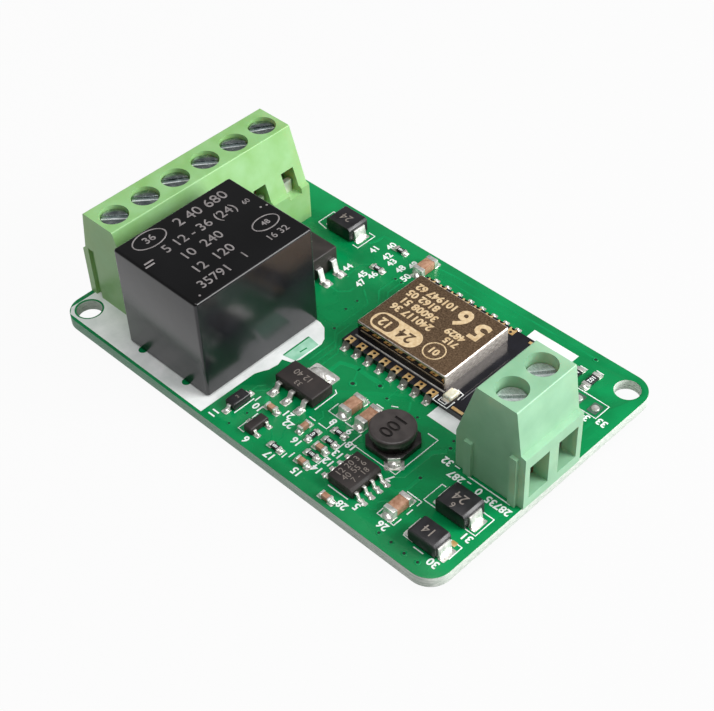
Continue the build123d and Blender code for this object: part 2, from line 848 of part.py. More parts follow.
def build_inductor():
    """A drum core whose lower flange stands on two silvered ears at opposite cut corners."""
    half = inductor_flange_size / 2
    coat_high = inductor_height - inductor_disc_thickness
    flange = block(-half, half, -half, half, body_lift, inductor_flange_height)
    flange = chamfer(flange.edges().filter_by(Axis.Z), inductor_flange_chamfer)
    disc = rod(0, 0, inductor_disc_radius, coat_high, inductor_height)
    disc = fillet(disc.edges().group_by(Axis.Z)[-1], inductor_edge_radius)
    post = rod(0, 0, inductor_post_radius, inductor_flange_height, coat_high)
    coat = rod(0, 0, inductor_disc_radius - inductor_coat_inset, inductor_flange_height, coat_high)
    coat -= rod(0, 0, inductor_post_radius + coil_clearance, 0, inductor_height)
    ear_x = hypot(half, half) - inductor_flange_chamfer * cos(radians(inductor_corner_angle))
    ear_half = inductor_ear_width / 2
    ear = block(ear_x, ear_x + lead_thickness, -ear_half, ear_half, 0, inductor_ear_height)
    foot = block(ear_x - inductor_foot_length, ear_x, -ear_half, ear_half, 0, body_lift)
    corner = Rot(0, 0, -inductor_corner_angle) * (ear + foot)
    save("inductor_core", *placed([flange + post + disc], supply_area, inductor_place_shares))
    save("inductor_winding", *placed([coat], supply_area, inductor_place_shares))
    save("inductor_terminals", *placed(mirrored_ends([corner]), supply_area, inductor_place_shares))


def strap_diode(length, width, height):
    """A moulded diode along X, with a strap at each end that folds under the body."""
    body = bevelled_body(width, length, strap_thickness, height, (1, -1))
    end = length / 2
    rise = height * strap_rise_share
    outline = [
        (end, rise), (end + strap_thickness, rise), (end + strap_thickness + strap_slant, 0),
        (end - strap_foot, 0), (end - strap_foot, strap_thickness), (end, strap_thickness),
    ]
    return body, mirrored_ends([prism_along_y(outline, strap_width)])


def build_diodes():
    body, straps = strap_diode(rectifier_length, rectifier_width, rectifier_height)
    save("rectifier_diode_body", *placed([body], supply_area, rectifier_place_shares))
    diode_leads = placed(straps, supply_area, rectifier_place_shares)
    body, straps = strap_diode(surge_length, surge_width, surge_height)
    save("surge_diode_body_1", *placed([body], supply_area, surge_place_shares))
    save("surge_diode_body_2", *placed([body], sensing_area, back_surge_place_shares))
    diode_leads += placed(straps, supply_area, surge_place_shares)
    diode_leads += placed(straps, sensing_area, back_surge_place_shares)
    leads = lead_row(1, 0, signal_length, signal_height, signal_lead_reach, signal_lead_width)
    body = moulded_body(signal_width, signal_length, signal_height)
    save("signal_diode_body", *placed([body], supply_area, signal_place_shares, across_angle))
    diode_leads += placed(mirrored_ends(leads), supply_area, signal_place_shares, across_angle)
    save("diode_leads", *diode_leads)


def chip(length, width, height):
    """A chip part along X: the ceramic, and two tinned end caps, each with its solder wedge."""
    half = length / 2
    skin = chip_end_thickness
    body = block(skin - half, half - skin, skin - width / 2, width / 2 - skin, skin, height - skin)
    cap = block(half - length * chip_end_share, half, -width / 2, width / 2, 0, height) - body
    outline = [(half, 0), (half + chip_solder_reach, 0), (half, height * chip_solder_rise_share)]
    return body, mirrored_ends([cap + prism_along_y(outline, width)])


def build_chips(name, sets):
    bodies = []
    ends = []
    for area, places, length, width, height in sets:
        body, caps = chip(length, width, height)
        for x_share, y_share, turn in places:
            bodies += placed([body], area, (x_share, y_share), turn)
            ends += placed(caps, area, (x_share, y_share), turn)
    save(f"{name}_bodies", *bodies)
    save(f"{name}_ends", *ends)


os.makedirs("parts", exist_ok=True)
output_location = Pos(output_x, 0, top) * Rot(0, 0, 180)
power_location = Pos(power_x, power_y, top)
build_terminal("output", output_outline, output_poles, output_height, output_head_recess, output_slot_angles,
               output_location)
build_terminal("power", power_outline, power_poles, power_height, power_head_recess, power_slot_angles,
               power_location)
build_relay()
build_radio_module()
build_circuit_board()
build_converter()
build_regulator()
build_transistor()
build_isolator()
build_inductor()
build_diodes()
small_size = (small_chip_length, small_chip_width)
large_size = (large_chip_length, large_chip_width)
corner_size = (corner_resistor_length, corner_resistor_width)
build_chips("capacitor", [
    (supply_area, small_capacitor_place_shares, *small_size, small_capacitor_height),
    (supply_area, large_capacitor_place_shares, *large_size, large_capacitor_height),
    (sensing_area, back_capacitor_place_shares, *large_size, large_capacitor_height),
])
build_chips("resistor", [
    (supply_area, small_resistor_place_shares, *small_size, small_resistor_height),
    (sensing_area, back_resistor_place_shares, *small_size, small_resistor_height),
    (corner_area, corner_resistor_place_shares, *corner_size, corner_resistor_height),
])
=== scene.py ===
import json
import math

import bpy
from mathutils import Matrix, Vector

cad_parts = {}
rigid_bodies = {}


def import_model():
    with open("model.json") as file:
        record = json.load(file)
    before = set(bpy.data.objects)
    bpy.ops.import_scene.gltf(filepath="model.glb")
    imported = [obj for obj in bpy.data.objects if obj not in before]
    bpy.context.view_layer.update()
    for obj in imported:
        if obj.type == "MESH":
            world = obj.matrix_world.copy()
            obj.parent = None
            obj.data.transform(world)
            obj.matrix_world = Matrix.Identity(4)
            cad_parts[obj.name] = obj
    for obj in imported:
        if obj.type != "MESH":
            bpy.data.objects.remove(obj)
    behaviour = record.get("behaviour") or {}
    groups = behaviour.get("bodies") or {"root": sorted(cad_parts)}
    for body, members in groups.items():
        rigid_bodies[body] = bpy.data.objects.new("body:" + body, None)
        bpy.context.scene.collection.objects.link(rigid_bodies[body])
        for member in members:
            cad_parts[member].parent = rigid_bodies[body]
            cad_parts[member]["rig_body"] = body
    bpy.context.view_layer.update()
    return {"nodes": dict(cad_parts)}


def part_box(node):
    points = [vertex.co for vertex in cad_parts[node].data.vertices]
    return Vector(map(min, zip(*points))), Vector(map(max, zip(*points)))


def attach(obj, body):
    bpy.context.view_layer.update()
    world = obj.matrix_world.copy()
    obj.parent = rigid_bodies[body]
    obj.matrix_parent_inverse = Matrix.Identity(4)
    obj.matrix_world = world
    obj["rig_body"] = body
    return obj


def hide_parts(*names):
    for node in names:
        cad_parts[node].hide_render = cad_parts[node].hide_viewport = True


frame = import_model()
nodes = frame["nodes"]
mm = 0.001
boardTop = 1.6            # places on the part are in mm from the board's middle, underside at 0
print("frame loaded:", len(nodes), "nodes")


def hexColour(text):
    # sRGB hex to the linear values that the shaders take
    values = [int(text[i:i + 2], 16) / 255 for i in (1, 3, 5)]
    linear = [v / 12.92 if v <= 0.04045 else ((v + 0.055) / 1.055) ** 2.4 for v in values]
    return (*linear, 1.0)


def addNode(material, kind, inputs=None, **settings):
    # one node, its settings, and its inputs as values or (node, output) pairs
    node = material.node_tree.nodes.new("ShaderNode" + kind)
    for name, value in settings.items():
        setattr(node, name, value)
    for socket, value in (inputs or {}).items():
        if isinstance(value, tuple) and isinstance(value[0], bpy.types.Node):
            material.node_tree.links.new(value[0].outputs[value[1]], node.inputs[socket])
        else:
            node.inputs[socket].default_value = value
    return node


def newMaterial(name, colour, **sockets):
    material = bpy.data.materials.new(name)
    material.use_nodes = True
    shader = material.node_tree.nodes["Principled BSDF"]
    shader.inputs["Base Color"].default_value = hexColour(colour)
    for socket, value in sockets.items():
        shader.inputs[socket.replace("_", " ")].default_value = value
    return material


def linkShader(material, socket, node, output):
    shader = material.node_tree.nodes["Principled BSDF"]
    material.node_tree.links.new(node.outputs[output], shader.inputs[socket])


def setRamp(ramp, tones):
    # the noise values that give the darker and the lighter tone in full
    for element, position, tone in zip(ramp.color_ramp.elements, (0.32, 0.68), tones):
        element.position = position
        element.color = hexColour(tone)


def mottle(name, colour, size, tones, roughness, grain, height, stretch=(1, 1, 1), **sockets):
    # a material with cloudy tone and roughness at one size in mm, and a fine relief at another
    material = newMaterial(name, colour, **sockets)
    points = addNode(material, "TexCoord")
    turned = addNode(material, "Mapping", {"Vector": (points, "Object"), "Scale": stretch})
    cloud = addNode(material, "TexNoise", {"Vector": (turned, "Vector"), "Scale": 1 / (size * mm),
                                           "Detail": 4.0})
    tone = addNode(material, "ValToRGB", {"Fac": (cloud, "Fac")})
    setRamp(tone, tones)
    linkShader(material, "Base Color", tone, "Color")
    rough = addNode(material, "MapRange", {"Value": (cloud, "Fac"), "From Min": 0.3, "From Max": 0.7,
                                           "To Min": roughness[0], "To Max": roughness[1]})
    linkShader(material, "Roughness", rough, "Result")
    fine = addNode(material, "TexNoise", {"Vector": (turned, "Vector"), "Scale": 1 / (grain * mm),
                                          "Detail": 3.0})
    relief = addNode(material, "Bump", {"Height": (fine, "Fac"), "Distance": height * mm, "Strength": 1.0})
    linkShader(material, "Normal", relief, "Normal")
    return material


# Liquid solder mask over FR-4 and copper: a hard glossy green film, uneven, darker where it is thick
solderMask = mottle("solderMaskFilm", "#00874C", 6.0, ("#00753F", "#00894C"), (0.22, 0.32), 0.35, 0.004,
                    IOR=1.48, Specular_IOR_Level=0.3, Coat_Weight=0.05)
# The same film where it runs over a copper track: lighter and smoother
trackMask = mottle("solderMaskOverTrack", "#02904F", 4.0, ("#007E45", "#029052"), (0.22, 0.32), 0.35,
                   0.004, IOR=1.48, Specular_IOR_Level=0.3, Coat_Weight=0.05)
# Routed FR-4 edge: pale glass layers that show as fine lines, dusty and matt
laminateTones = ("#A3B5A6", "#EEF1EA")
boardEdge = mottle("routedLaminate", "#A9B9A6", 0.7, laminateTones, (0.55, 0.75), 0.12, 0.02, (1, 1, 14),
                   IOR=1.55)
# The long edge away from the light: the film has run down over the laminate, less and less towards +X,
# and its darker tone is also painted shade for the side that faces away from the key panel
filmedShadedEdge = mottle("filmedAndShadedLaminateEdge", "#609F7C", 0.9, ("#3F8A64", "#86AD93"), (0.4, 0.6), 0.12, 0.015,
                 (0.35, 1, 9), IOR=1.5)
filmEnds = (-15, 29)    # mm along X, from all film to bare laminate
points = addNode(filmedShadedEdge, "TexCoord")
place = addNode(filmedShadedEdge, "SeparateXYZ", {"Vector": (points, "Object")})
bareShare = addNode(filmedShadedEdge, "MapRange", {"Value": (place, "X"), "From Min": filmEnds[0] * mm,
                                          "From Max": filmEnds[1] * mm})
cloud, filmShadeTone = (filmedShadedEdge.node_tree.nodes[name] for name in ("Noise Texture", "Color Ramp"))
bareTone = addNode(filmedShadedEdge, "ValToRGB", {"Fac": (cloud, "Fac")})
setRamp(bareTone, laminateTones)
filmed = addNode(filmedShadedEdge, "Mix", {0: (bareShare, "Result"), 6: (filmShadeTone, "Color"), 7: (bareTone, "Color")},
                 data_type="RGBA")
linkShader(filmedShadedEdge, "Base Color", filmed, 2)
# White epoxy ink, screened on: nearly flat, slightly chalky
whiteInk = mottle("screenedWhiteInk", "#E9ECEA", 2.2, ("#DDE2E0", "#F2F4F3"), (0.5, 0.65), 0.15, 0.006,
                  IOR=1.5)
# Pale green for the lit inner wall of a slot beside the relay that is not modelled: painted light
slotWallPaint = mottle("paintedSlotWall", "#8FC9AB", 1.2, ("#82BFA0", "#A6D6BD"), (0.45, 0.6), 0.15, 0.004,
                 IOR=1.5)
# Moulded polyamide, yellow green, low gloss from a fine spark-eroded mould
outputPlastic = mottle("mouldedPolyamideLeafGreen", "#8BBB78", 3.5, ("#83B46B", "#93C184"), (0.34, 0.46),
                       0.16, 0.006, IOR=1.53, Subsurface_Weight=0.05)
# The same plastic in a cooler, paler green
powerPlastic = mottle("mouldedPolyamideSageGreen", "#8CBB96", 3.5, ("#84B48F", "#94C29E"), (0.34, 0.46),
                      0.16, 0.006, IOR=1.53, Subsurface_Weight=0.05)
# Zinc-plated steel, turned head: cool grey, polished enough to mirror the dim room above
zincSteel = mottle("zincPlatedSteel", "#8F9A9C", 0.7, ("#717D80", "#ADB6B6"), (0.16, 0.3), 0.1, 0.012,
                   Metallic=1.0)
# The slot sawn in the head: a near-white copy of the steel as a painted highlight for the bright band along
# the slot; rough, so that it catches any light
slotGlintSteel = mottle("paintedGlintZincSteel", "#DDE2E2", 0.5, ("#C2C8C9", "#F0F3F3"), (0.42, 0.6), 0.09, 0.02,
                   (1, 6, 1), Metallic=0.45)
# The power block's screws: plated duller, with the lathe's streaks across the head
streakedSteel = mottle("streakedZincSteel", "#B4BDBB", 0.35, ("#8D9997", "#DDE3E1"), (0.3, 0.45), 0.09,
                       0.02, (1, 7, 1), Metallic=0.75)
# Nickel-plated steel pressing, satin
nickelClamp = mottle("nickelPlatedPressing", "#B8B2A4", 1.5, ("#A49D8F", "#C6C1B5"), (0.28, 0.42), 0.12,
                     0.006, Metallic=1.0)
# Tinned brass pin, soft grey
tinnedBrass = mottle("tinnedBrassPin", "#E6E6E2", 1.0, ("#D8D8D4", "#F2F2EE"), (0.35, 0.5), 0.15, 0.006,
                     Metallic=0.9)
# Black PBT relay case from a polished mould: deep black, soft reflections, a slight wave in the walls
relayCase = mottle("polishedBlackPbt", "#08080A", 9.0, ("#050506", "#0B0B0D"), (0.16, 0.26), 2.6, 0.015,
                   IOR=1.4)
# The same case's side walls, less clear: a greyer copy of the black, painted light for the brighter walls
litRelayWall = mottle("litGreyBlackPbtWall", "#1B1B1F", 7.0, ("#151518", "#212126"), (0.16, 0.26), 2.6, 0.02,
                   IOR=1.5)
# Black glass-filled base of the relay, matt
relayBase = mottle("glassFilledBlackBase", "#1A1A1C", 2.0, ("#151517", "#222225"), (0.5, 0.65), 0.2, 0.01,
                   IOR=1.53)
# Soft iron yoke, core and armature, zinc flashed, dull
softIron = mottle("zincFlashedIron", "#8C8D8A", 1.8, ("#7B7C7A", "#9D9D98"), (0.38, 0.55), 0.15, 0.01,
                  Metallic=1.0)
# Natural coil former plastic, cream
bobbinPlastic = mottle("creamCoilFormer", "#D9D2BE", 2.0, ("#D2CAB4", "#E0DAC8"), (0.4, 0.55), 0.2, 0.008,
                       IOR=1.53, Subsurface_Weight=0.08)
# Gold-flashed contact alloy strip
contactAlloy = mottle("bronzeContactStrip", "#C39A63", 1.2, ("#B48B54", "#CFA870"), (0.25, 0.38), 0.15,
                      0.004, Metallic=1.0)
# Black solder mask of the radio module, glossy enough to mirror the can beside it
blackMask = mottle("blackSolderMask", "#17171D", 3.0, ("#101015", "#1A1A22"), (0.12, 0.2), 0.3, 0.003,
                   IOR=1.55)
# Immersion gold over nickel on the pads: warm, grainy, half matt
goldPad = mottle("immersionGoldPad", "#E3BB78", 0.8, ("#D0A05A", "#F3D6A0"), (0.3, 0.45), 0.12, 0.012,
                 Metallic=0.5)
# Reflowed tin solder: bright, lumpy, pools and facets
brightSolder = mottle("reflowedTinSolder", "#EDEBE6", 0.6, ("#DAD7D0", "#FBFAF6"), (0.26, 0.42), 0.28,
                      0.04, Metallic=0.8)
# Solder in the castellations under the radio module's pads: a darker grey copy of the solder, painted shade
# for the shade of the edge
shadedSolder = mottle("shadedTinFillet", "#8E8B84", 0.6, ("#716E67", "#A3A099"), (0.35, 0.5), 0.28, 0.03,
                    Metallic=0.8)
# Tin on the unused header pads: grey green and dull
shadedTin = mottle("dullGreyGreenTinPad", "#4F6A5C", 0.8, ("#445C50", "#5C7868"), (0.45, 0.6), 0.14, 0.008,
                   Metallic=0.3)
# Matt tin plating on the formed leads
tinnedLead = mottle("mattTinPlating", "#E2E1DD", 0.5, ("#D2D1CD", "#F2F1ED"), (0.32, 0.46), 0.14, 0.008,
                    Metallic=0.8)
# Moulded epoxy of the chips: brown black, matt, fine filler grain
chipEpoxy = mottle("mouldedChipEpoxy", "#231C1B", 1.6, ("#1D1716", "#2C2422"), (0.5, 0.66), 0.1, 0.01,
                   IOR=1.55)
# Diode epoxy, blacker and smoother than the chips'
diodeEpoxy = mottle("mouldedDiodeEpoxy", "#141216", 1.6, ("#0F0D11", "#1C1A1F"), (0.34, 0.48), 0.1, 0.008,
                    IOR=1.55)
# Pressed and fired ferrite: dark brown grey, a little open grain
ferrite = mottle("firedFerrite", "#3E3736", 1.2, ("#383130", "#48403E"), (0.35, 0.5), 0.14, 0.012,
                 IOR=1.7)
# Black epoxy coat over the inductor's winding
inductorCoat = mottle("windingVarnish", "#1D1918", 0.8, ("#171413", "#282220"), (0.25, 0.4), 0.3, 0.03,
                      IOR=1.53)
# Barium titanate ceramic of the capacitors: warm brown, faintly waxy
capacitorCeramic = mottle("firedTitanateCeramic", "#AA7F65", 0.5, ("#96694E", "#BE957B"), (0.35, 0.5),
                          0.1, 0.008, IOR=1.6)
# Black glass glaze on the resistors
resistorGlaze = mottle("glassGlazeBlack", "#1B1A1C", 0.4, ("#141315", "#26252A"), (0.2, 0.35), 0.15,
                       0.006, IOR=1.5)
# Enamelled copper wire
copperWire = mottle("enamelledCopper", "#B4693A", 0.8, ("#9E572D", "#C97C4A"), (0.25, 0.4), 0.2, 0.03,
                    Metallic=1.0)
# Nickel silver can, top face: rolled and dulled, warm bronze with a fine speckle
shieldTop = mottle("rolledNickelSilver", "#7A624C", 0.22, ("#5F4A38", "#957B60"), (0.36, 0.52), 0.07,
                   0.008, Metallic=0.85)
# The can's drawn wall towards the power terminal: a lighter copy of the can's metal as painted light, with
# fine level draw lines
litShieldWall = mottle("litDrawnNickelSilver", "#D8CEC4", 0.6, ("#A99C94", "#F6F0E8"), (0.34, 0.48), 0.25, 0.03,
                    (1, 1, 5), Metallic=0.75)
# The wall over the gold pads: drawn bright enough to mirror them
shieldMirror = mottle("brightDrawnWall", "#B9AA94", 1.2, ("#A99A86", "#C9BBA5"), (0.07, 0.12), 0.5, 0.004,
                      Metallic=1.0)
# Cream ink of the can's print
shieldInk = mottle("creamPadPrint", "#CDB289", 0.5, ("#C0A379", "#D9C29C"), (0.5, 0.65), 0.12, 0.004,
                   IOR=1.5)
# Grey ink of the relay's print, laid thin over black
relayInk = mottle("greyPadPrint", "#7F7A7A", 0.6, ("#6F6A6A", "#8F8A8A"), (0.45, 0.6), 0.12, 0.004,
                  IOR=1.5)
# Laser marks on epoxy: scorched a shade lighter than the body
laserMark = mottle("laserMarkedEpoxy", "#7C736D", 0.5, ("#6E6660", "#8C837C"), (0.6, 0.75), 0.1, 0.004,
                   IOR=1.55)
# Clear epoxy of the status lamp over its yellow phosphor
lampLens = mottle("clearLampEpoxy", "#EDE2C4", 0.5, ("#E4D5AE", "#F5EDD8"), (0.15, 0.25), 0.2, 0.01,
                  IOR=1.53, Subsurface_Weight=0.2)
# The drilled middle of a via, in shade: nearly black green
drilledHole = mottle("drilledShade", "#062417", 0.4, ("#041A10", "#08301F"), (0.5, 0.7), 0.1, 0.005,
                     IOR=1.5)
print("materials made:", len(bpy.data.materials))


def activate(piece):
    bpy.ops.object.select_all(action="DESELECT")
    piece.select_set(True)
    bpy.context.view_layer.objects.active = piece


def applyModifier(piece, kind, **settings):
    activate(piece)
    modifier = piece.modifiers.new("shape", kind)
    for name, value in settings.items():
        setattr(modifier, name, value)
    bpy.ops.object.modifier_apply(modifier="shape")


def finishPiece(piece, name, body, finish):
    activate(piece)
    bpy.ops.object.transform_apply(location=True, rotation=True, scale=True)
    piece.name = piece.data.name = name
    piece.data.materials.clear()
    piece.data.materials.append(finish)
    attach(piece, body)
    return piece


easing = {"weld": 2e-6, "flatAngle": 1, "cornerAngle": 28, "smoothAngle": 38, "segments": 2}


def softened(nodeName, width, finish):
    # a copy of a CAD node with its corners eased, which stands for the node
    source = nodes[nodeName]
    piece = bpy.data.objects.new(nodeName + "_eased", source.data.copy())
    bpy.context.scene.collection.objects.link(piece)
    activate(piece)
    if piece.data.has_custom_normals:
        bpy.ops.mesh.customdata_custom_splitnormals_clear()
    bpy.ops.object.mode_set(mode="EDIT")
    bpy.ops.mesh.select_all(action="SELECT")
    bpy.ops.mesh.remove_doubles(threshold=easing["weld"])
    bpy.ops.mesh.dissolve_limited(angle_limit=math.radians(easing["flatAngle"]))
    bpy.ops.object.mode_set(mode="OBJECT")
    applyModifier(piece, "BEVEL", width=width * mm, segments=easing["segments"], limit_method="ANGLE",
                  angle_limit=math.radians(easing["cornerAngle"]))
    bpy.ops.object.shade_smooth_by_angle(angle=math.radians(easing["smoothAngle"]))
    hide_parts(nodeName)
    return finishPiece(piece, nodeName + "_eased", source["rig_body"], finish)


# CAD nodes eased as they are: the radius in mm, the slot and the finish
easedNodes = {
    "converter_chip_body": (0.07, "chip_epoxy", chipEpoxy),
    "converter_chip_leads": (0.04, "tinned_lead", brightSolder),
    "regulator_body": (0.08, "chip_epoxy", chipEpoxy),
    "regulator_leads": (0.05, "tinned_lead", brightSolder),
    "transistor_body": (0.05, "chip_epoxy", chipEpoxy),
    "transistor_leads": (0.04, "tinned_lead", brightSolder),
    "opto_isolator_body": (0.1, "chip_epoxy", chipEpoxy),
    "opto_isolator_leads": (0.05, "tinned_lead", tinnedLead),
    "rectifier_diode_body": (0.08, "chip_epoxy", diodeEpoxy),
    "surge_diode_body_1": (0.08, "chip_epoxy", diodeEpoxy),
    "surge_diode_body_2": (0.08, "chip_epoxy", diodeEpoxy),
    "signal_diode_body": (0.06, "chip_epoxy", diodeEpoxy),
    "diode_leads": (0.05, "tinned_lead", tinnedLead),
    "inductor_terminals": (0.05, "tinned_lead", brightSolder),
    "capacitor_bodies": (0.05, "capacitor_ceramic", capacitorCeramic),
    "capacitor_ends": (0.05, "tinned_lead", brightSolder),
    "resistor_bodies": (0.04, "resistor_ceramic", resistorGlaze),
    "resistor_ends": (0.04, "tinned_lead", brightSolder),
    "radio_status_led": (0.05, "led_lens", lampLens),
}
for nodeName, (width, slotName, finish) in easedNodes.items():
    softened(nodeName, width, finish)
print("eased pieces made:", len(easedNodes))

# CAD nodes shown as they are
keptNodes = {
    "output_terminal_housing": outputPlastic, "power_terminal_housing": powerPlastic,
    "output_terminal_pins": tinnedBrass, "power_terminal_pins": tinnedBrass,
    "relay_base": relayBase, "relay_yoke": softIron, "relay_core": softIron,
    "relay_armature": softIron, "relay_bobbin": bobbinPlastic, "relay_coil_winding": copperWire,
    "relay_coil_pins": tinnedBrass, "relay_moving_contact_spring": contactAlloy,
    "relay_open_contact": contactAlloy, "relay_closed_contact": contactAlloy,
    "relay_common_contact": contactAlloy, "radio_board": blackMask, "radio_pads": goldPad,
    # the radio module's joints take the darker solder: painted shade
    "radio_solder_joints": shadedSolder, "radio_chips": chipEpoxy, "inductor_winding": inductorCoat,
    "board_solder_joints": brightSolder,
}
for side, count in (("output", 6), ("power", 2)):
    for index in range(1, count + 1):
        keptNodes[f"{side}_wire_clamp_{index}"] = nickelClamp
for nodeName, finish in keptNodes.items():
    for materialSlot in nodes[nodeName].material_slots:
        materialSlot.material = finish
print("kept nodes finished:", len(keptNodes))


def facesWhere(piece, test, slotIndex):
    # gives a material slot to the faces whose middle and normal pass the test
    for face in piece.data.polygons:
        if test(face.center / mm, face.normal):
            face.material_index = slotIndex


# Circuit board: mask on both faces, bare laminate on the routed edge and in the holes, and film run over
# the long edge at -Y and the corner beside it, whose darker tone is partly painted shade
boardFaces = {"bevel": 0.12, "wallTilt": 0.3, "runFront": -17.4, "runLeft": -32.2, "runTilt": -0.5,
              "cornerHole": (-30.29, -17.8), "holeReach": 2.2}


def onShadedRunEdge(centre, normal):
    holeX, holeY = boardFaces["cornerHole"]
    return (abs(normal.z) < boardFaces["wallTilt"] and centre.y < boardFaces["runFront"]
            and (normal.y < boardFaces["runTilt"] or centre.x < boardFaces["runLeft"])
            and math.hypot(centre.x - holeX, centre.y - holeY) > boardFaces["holeReach"])


board = softened("circuit_board", boardFaces["bevel"], solderMask)
board.data.materials.append(boardEdge)
board.data.materials.append(filmedShadedEdge)
facesWhere(board, lambda centre, normal: abs(normal.z) < boardFaces["wallTilt"], 1)
# faces of the long edge away from the key panel take the darker copy: partly film run, partly painted shade
facesWhere(board, onShadedRunEdge, 2)

# Radio shield: dull top, walls and the top's eased edge in the lighter copy of the metal as painted light,
# and a mirror wall over the gold pads
shieldFaces = {"bevel": 0.04, "topTilt": 0.93, "frontTilt": -0.75}
shield = softened("radio_shield", shieldFaces["bevel"], shieldTop)
shield.data.materials.append(litShieldWall)
shield.data.materials.append(shieldMirror)
# the walls take the lighter copy of the can's metal: painted light
facesWhere(shield, lambda centre, normal: normal.z < shieldFaces["topTilt"], 1)
facesWhere(shield, lambda centre, normal: normal.y < shieldFaces["frontTilt"], 2)
print("board and shield made")

# Terminal screws: polished heads with a slot floor painted near-white as a highlight, and duller bright heads
# in the power block
screwHeads = {"bevel": 0.06, "slotDepth": 0.5, "slotReach": 0.1, "levelTilt": 0.9,
              "rows": (("output", 6, zincSteel), ("power", 2, streakedSteel))}
for side, count, headFinish in screwHeads["rows"]:
    for index in range(1, count + 1):
        screw = softened(f"{side}_clamp_screw_{index}", screwHeads["bevel"], headFinish)
        screw.data.materials.append(slotGlintSteel)
        headTop = max(vertex.co.z for vertex in screw.data.vertices) / mm
        slotFloor = headTop - screwHeads["slotDepth"]
        # the slot floor takes the near-white steel: painted highlight
        facesWhere(screw, lambda centre, normal: normal.z > screwHeads["levelTilt"]
                   and abs(centre.z - slotFloor) < screwHeads["slotReach"], 1)
print("screws made")

# Relay cover: its top is let down by the print's thickness, so that the print ends at the CAD height
relayCover = {"bevel": 0.05, "wallTilt": 0.3, "letDown": 0.04, "from": 15.6}
cover = softened("relay_cover", relayCover["bevel"], relayCase)
cover.data.materials.append(litRelayWall)
# the side walls take the greyer copy of the case's black: painted light
facesWhere(cover, lambda centre, normal: abs(normal.z) < relayCover["wallTilt"], 1)
coverHigh = max(vertex.co.z for vertex in cover.data.vertices) / mm
for vertex in cover.data.vertices:
    share = (vertex.co.z / mm - relayCover["from"]) / (coverHigh - relayCover["from"])
    if share > 0:
        vertex.co.z -= share * relayCover["letDown"] * mm


def flatLine(points, width, rise, height, closed=False):
    # a drawn line: a bevelled curve, made mesh, then pressed flat on the surface at that height
    curve = bpy.data.curves.new("line", "CURVE")
    curve.dimensions = "3D"
    curve.bevel_depth = width / 2
    curve.bevel_resolution = 1
    curve.use_fill_caps = not closed
    spline = curve.splines.new("POLY")
    spline.points.add(len(points) - 1)
    for point, (x, y) in zip(spline.points, points):
        point.co = (x, y, 0, 1)
    spline.use_cyclic_u = closed
    line = bpy.data.objects.new("line", curve)
    bpy.context.scene.collection.objects.link(line)
    activate(line)
    bpy.ops.object.convert(target="MESH")
    line.scale = (mm, mm, mm * rise / width * 2)
    line.location.z = height * mm
    return line


def flatArea(outlines, rise, height):
    # a filled area of ink, where a smaller outline inside a larger one is left open
    curve = bpy.data.curves.new("area", "CURVE")
    curve.dimensions = "2D"
    curve.fill_mode = "BOTH"
    curve.extrude = rise / 2
    for outline in outlines:
        spline = curve.splines.new("POLY")
        spline.points.add(len(outline) - 1)
        for point, (x, y) in zip(spline.points, outline):
            point.co = (x, y, 0, 1)
        spline.use_cyclic_u = True
    area = bpy.data.objects.new("area", curve)
    bpy.context.scene.collection.objects.link(area)
    activate(area)
    bpy.ops.object.convert(target="MESH")
    area.scale = (mm, mm, mm)
    area.location.z = height * mm
    return area


def ring(x, y, radius, steps=40):
    angles = [math.tau * i / steps for i in range(steps)]
    return [(x + radius * math.cos(angle), y + radius * math.sin(angle)) for angle in angles]


def roundedBox(low, front, high, back, radius, steps=10):
    corners = ((high - radius, back - radius), (low + radius, back - radius),
               (low + radius, front + radius), (high - radius, front + radius))
    outline = []
    for quarter, (x, y) in enumerate(corners):
        for i in range(steps + 1):
            angle = math.pi / 2 * (quarter + i / steps)
            outline.append((x + radius * math.cos(angle), y + radius * math.sin(angle)))
    return outline


figureRise = 0.012    # mm of ink above and below its height


def figures(text, x, y, height, size, turn, weight):
    # plain figures, printed
    bpy.ops.object.select_all(action="DESELECT")
    bpy.ops.object.text_add()
    label = bpy.context.object
    label.data.body = text
    label.data.align_x = label.data.align_y = "CENTER"
    label.data.size = size
    label.data.offset = weight
    label.data.extrude = figureRise
    label.data.resolution_u = 3
    bpy.ops.object.convert(target="MESH")
    label = bpy.context.object
    label.scale = (mm, mm, mm)
    label.rotation_euler.z = math.radians(turn)
    label.location = (x * mm, y * mm, height * mm)
    return label


def joined(parts, name, finish):
    bpy.ops.object.select_all(action="DESELECT")
    for part in parts:
        part.select_set(True)
    bpy.context.view_layer.objects.active = parts[0]
    bpy.ops.object.join()
    return finishPiece(bpy.context.object, name, "root", finish)


def copyOf(shape, x, y, z, sizeX, sizeY, sizeZ, turn=0):
    part = bpy.data.objects.new(shape.name, shape.data.copy())
    bpy.context.scene.collection.objects.link(part)
    part.location = (x * mm, y * mm, z * mm)
    part.scale = (sizeX * mm, sizeY * mm, sizeZ * mm)
    part.rotation_euler.z = math.radians(turn)
    return part


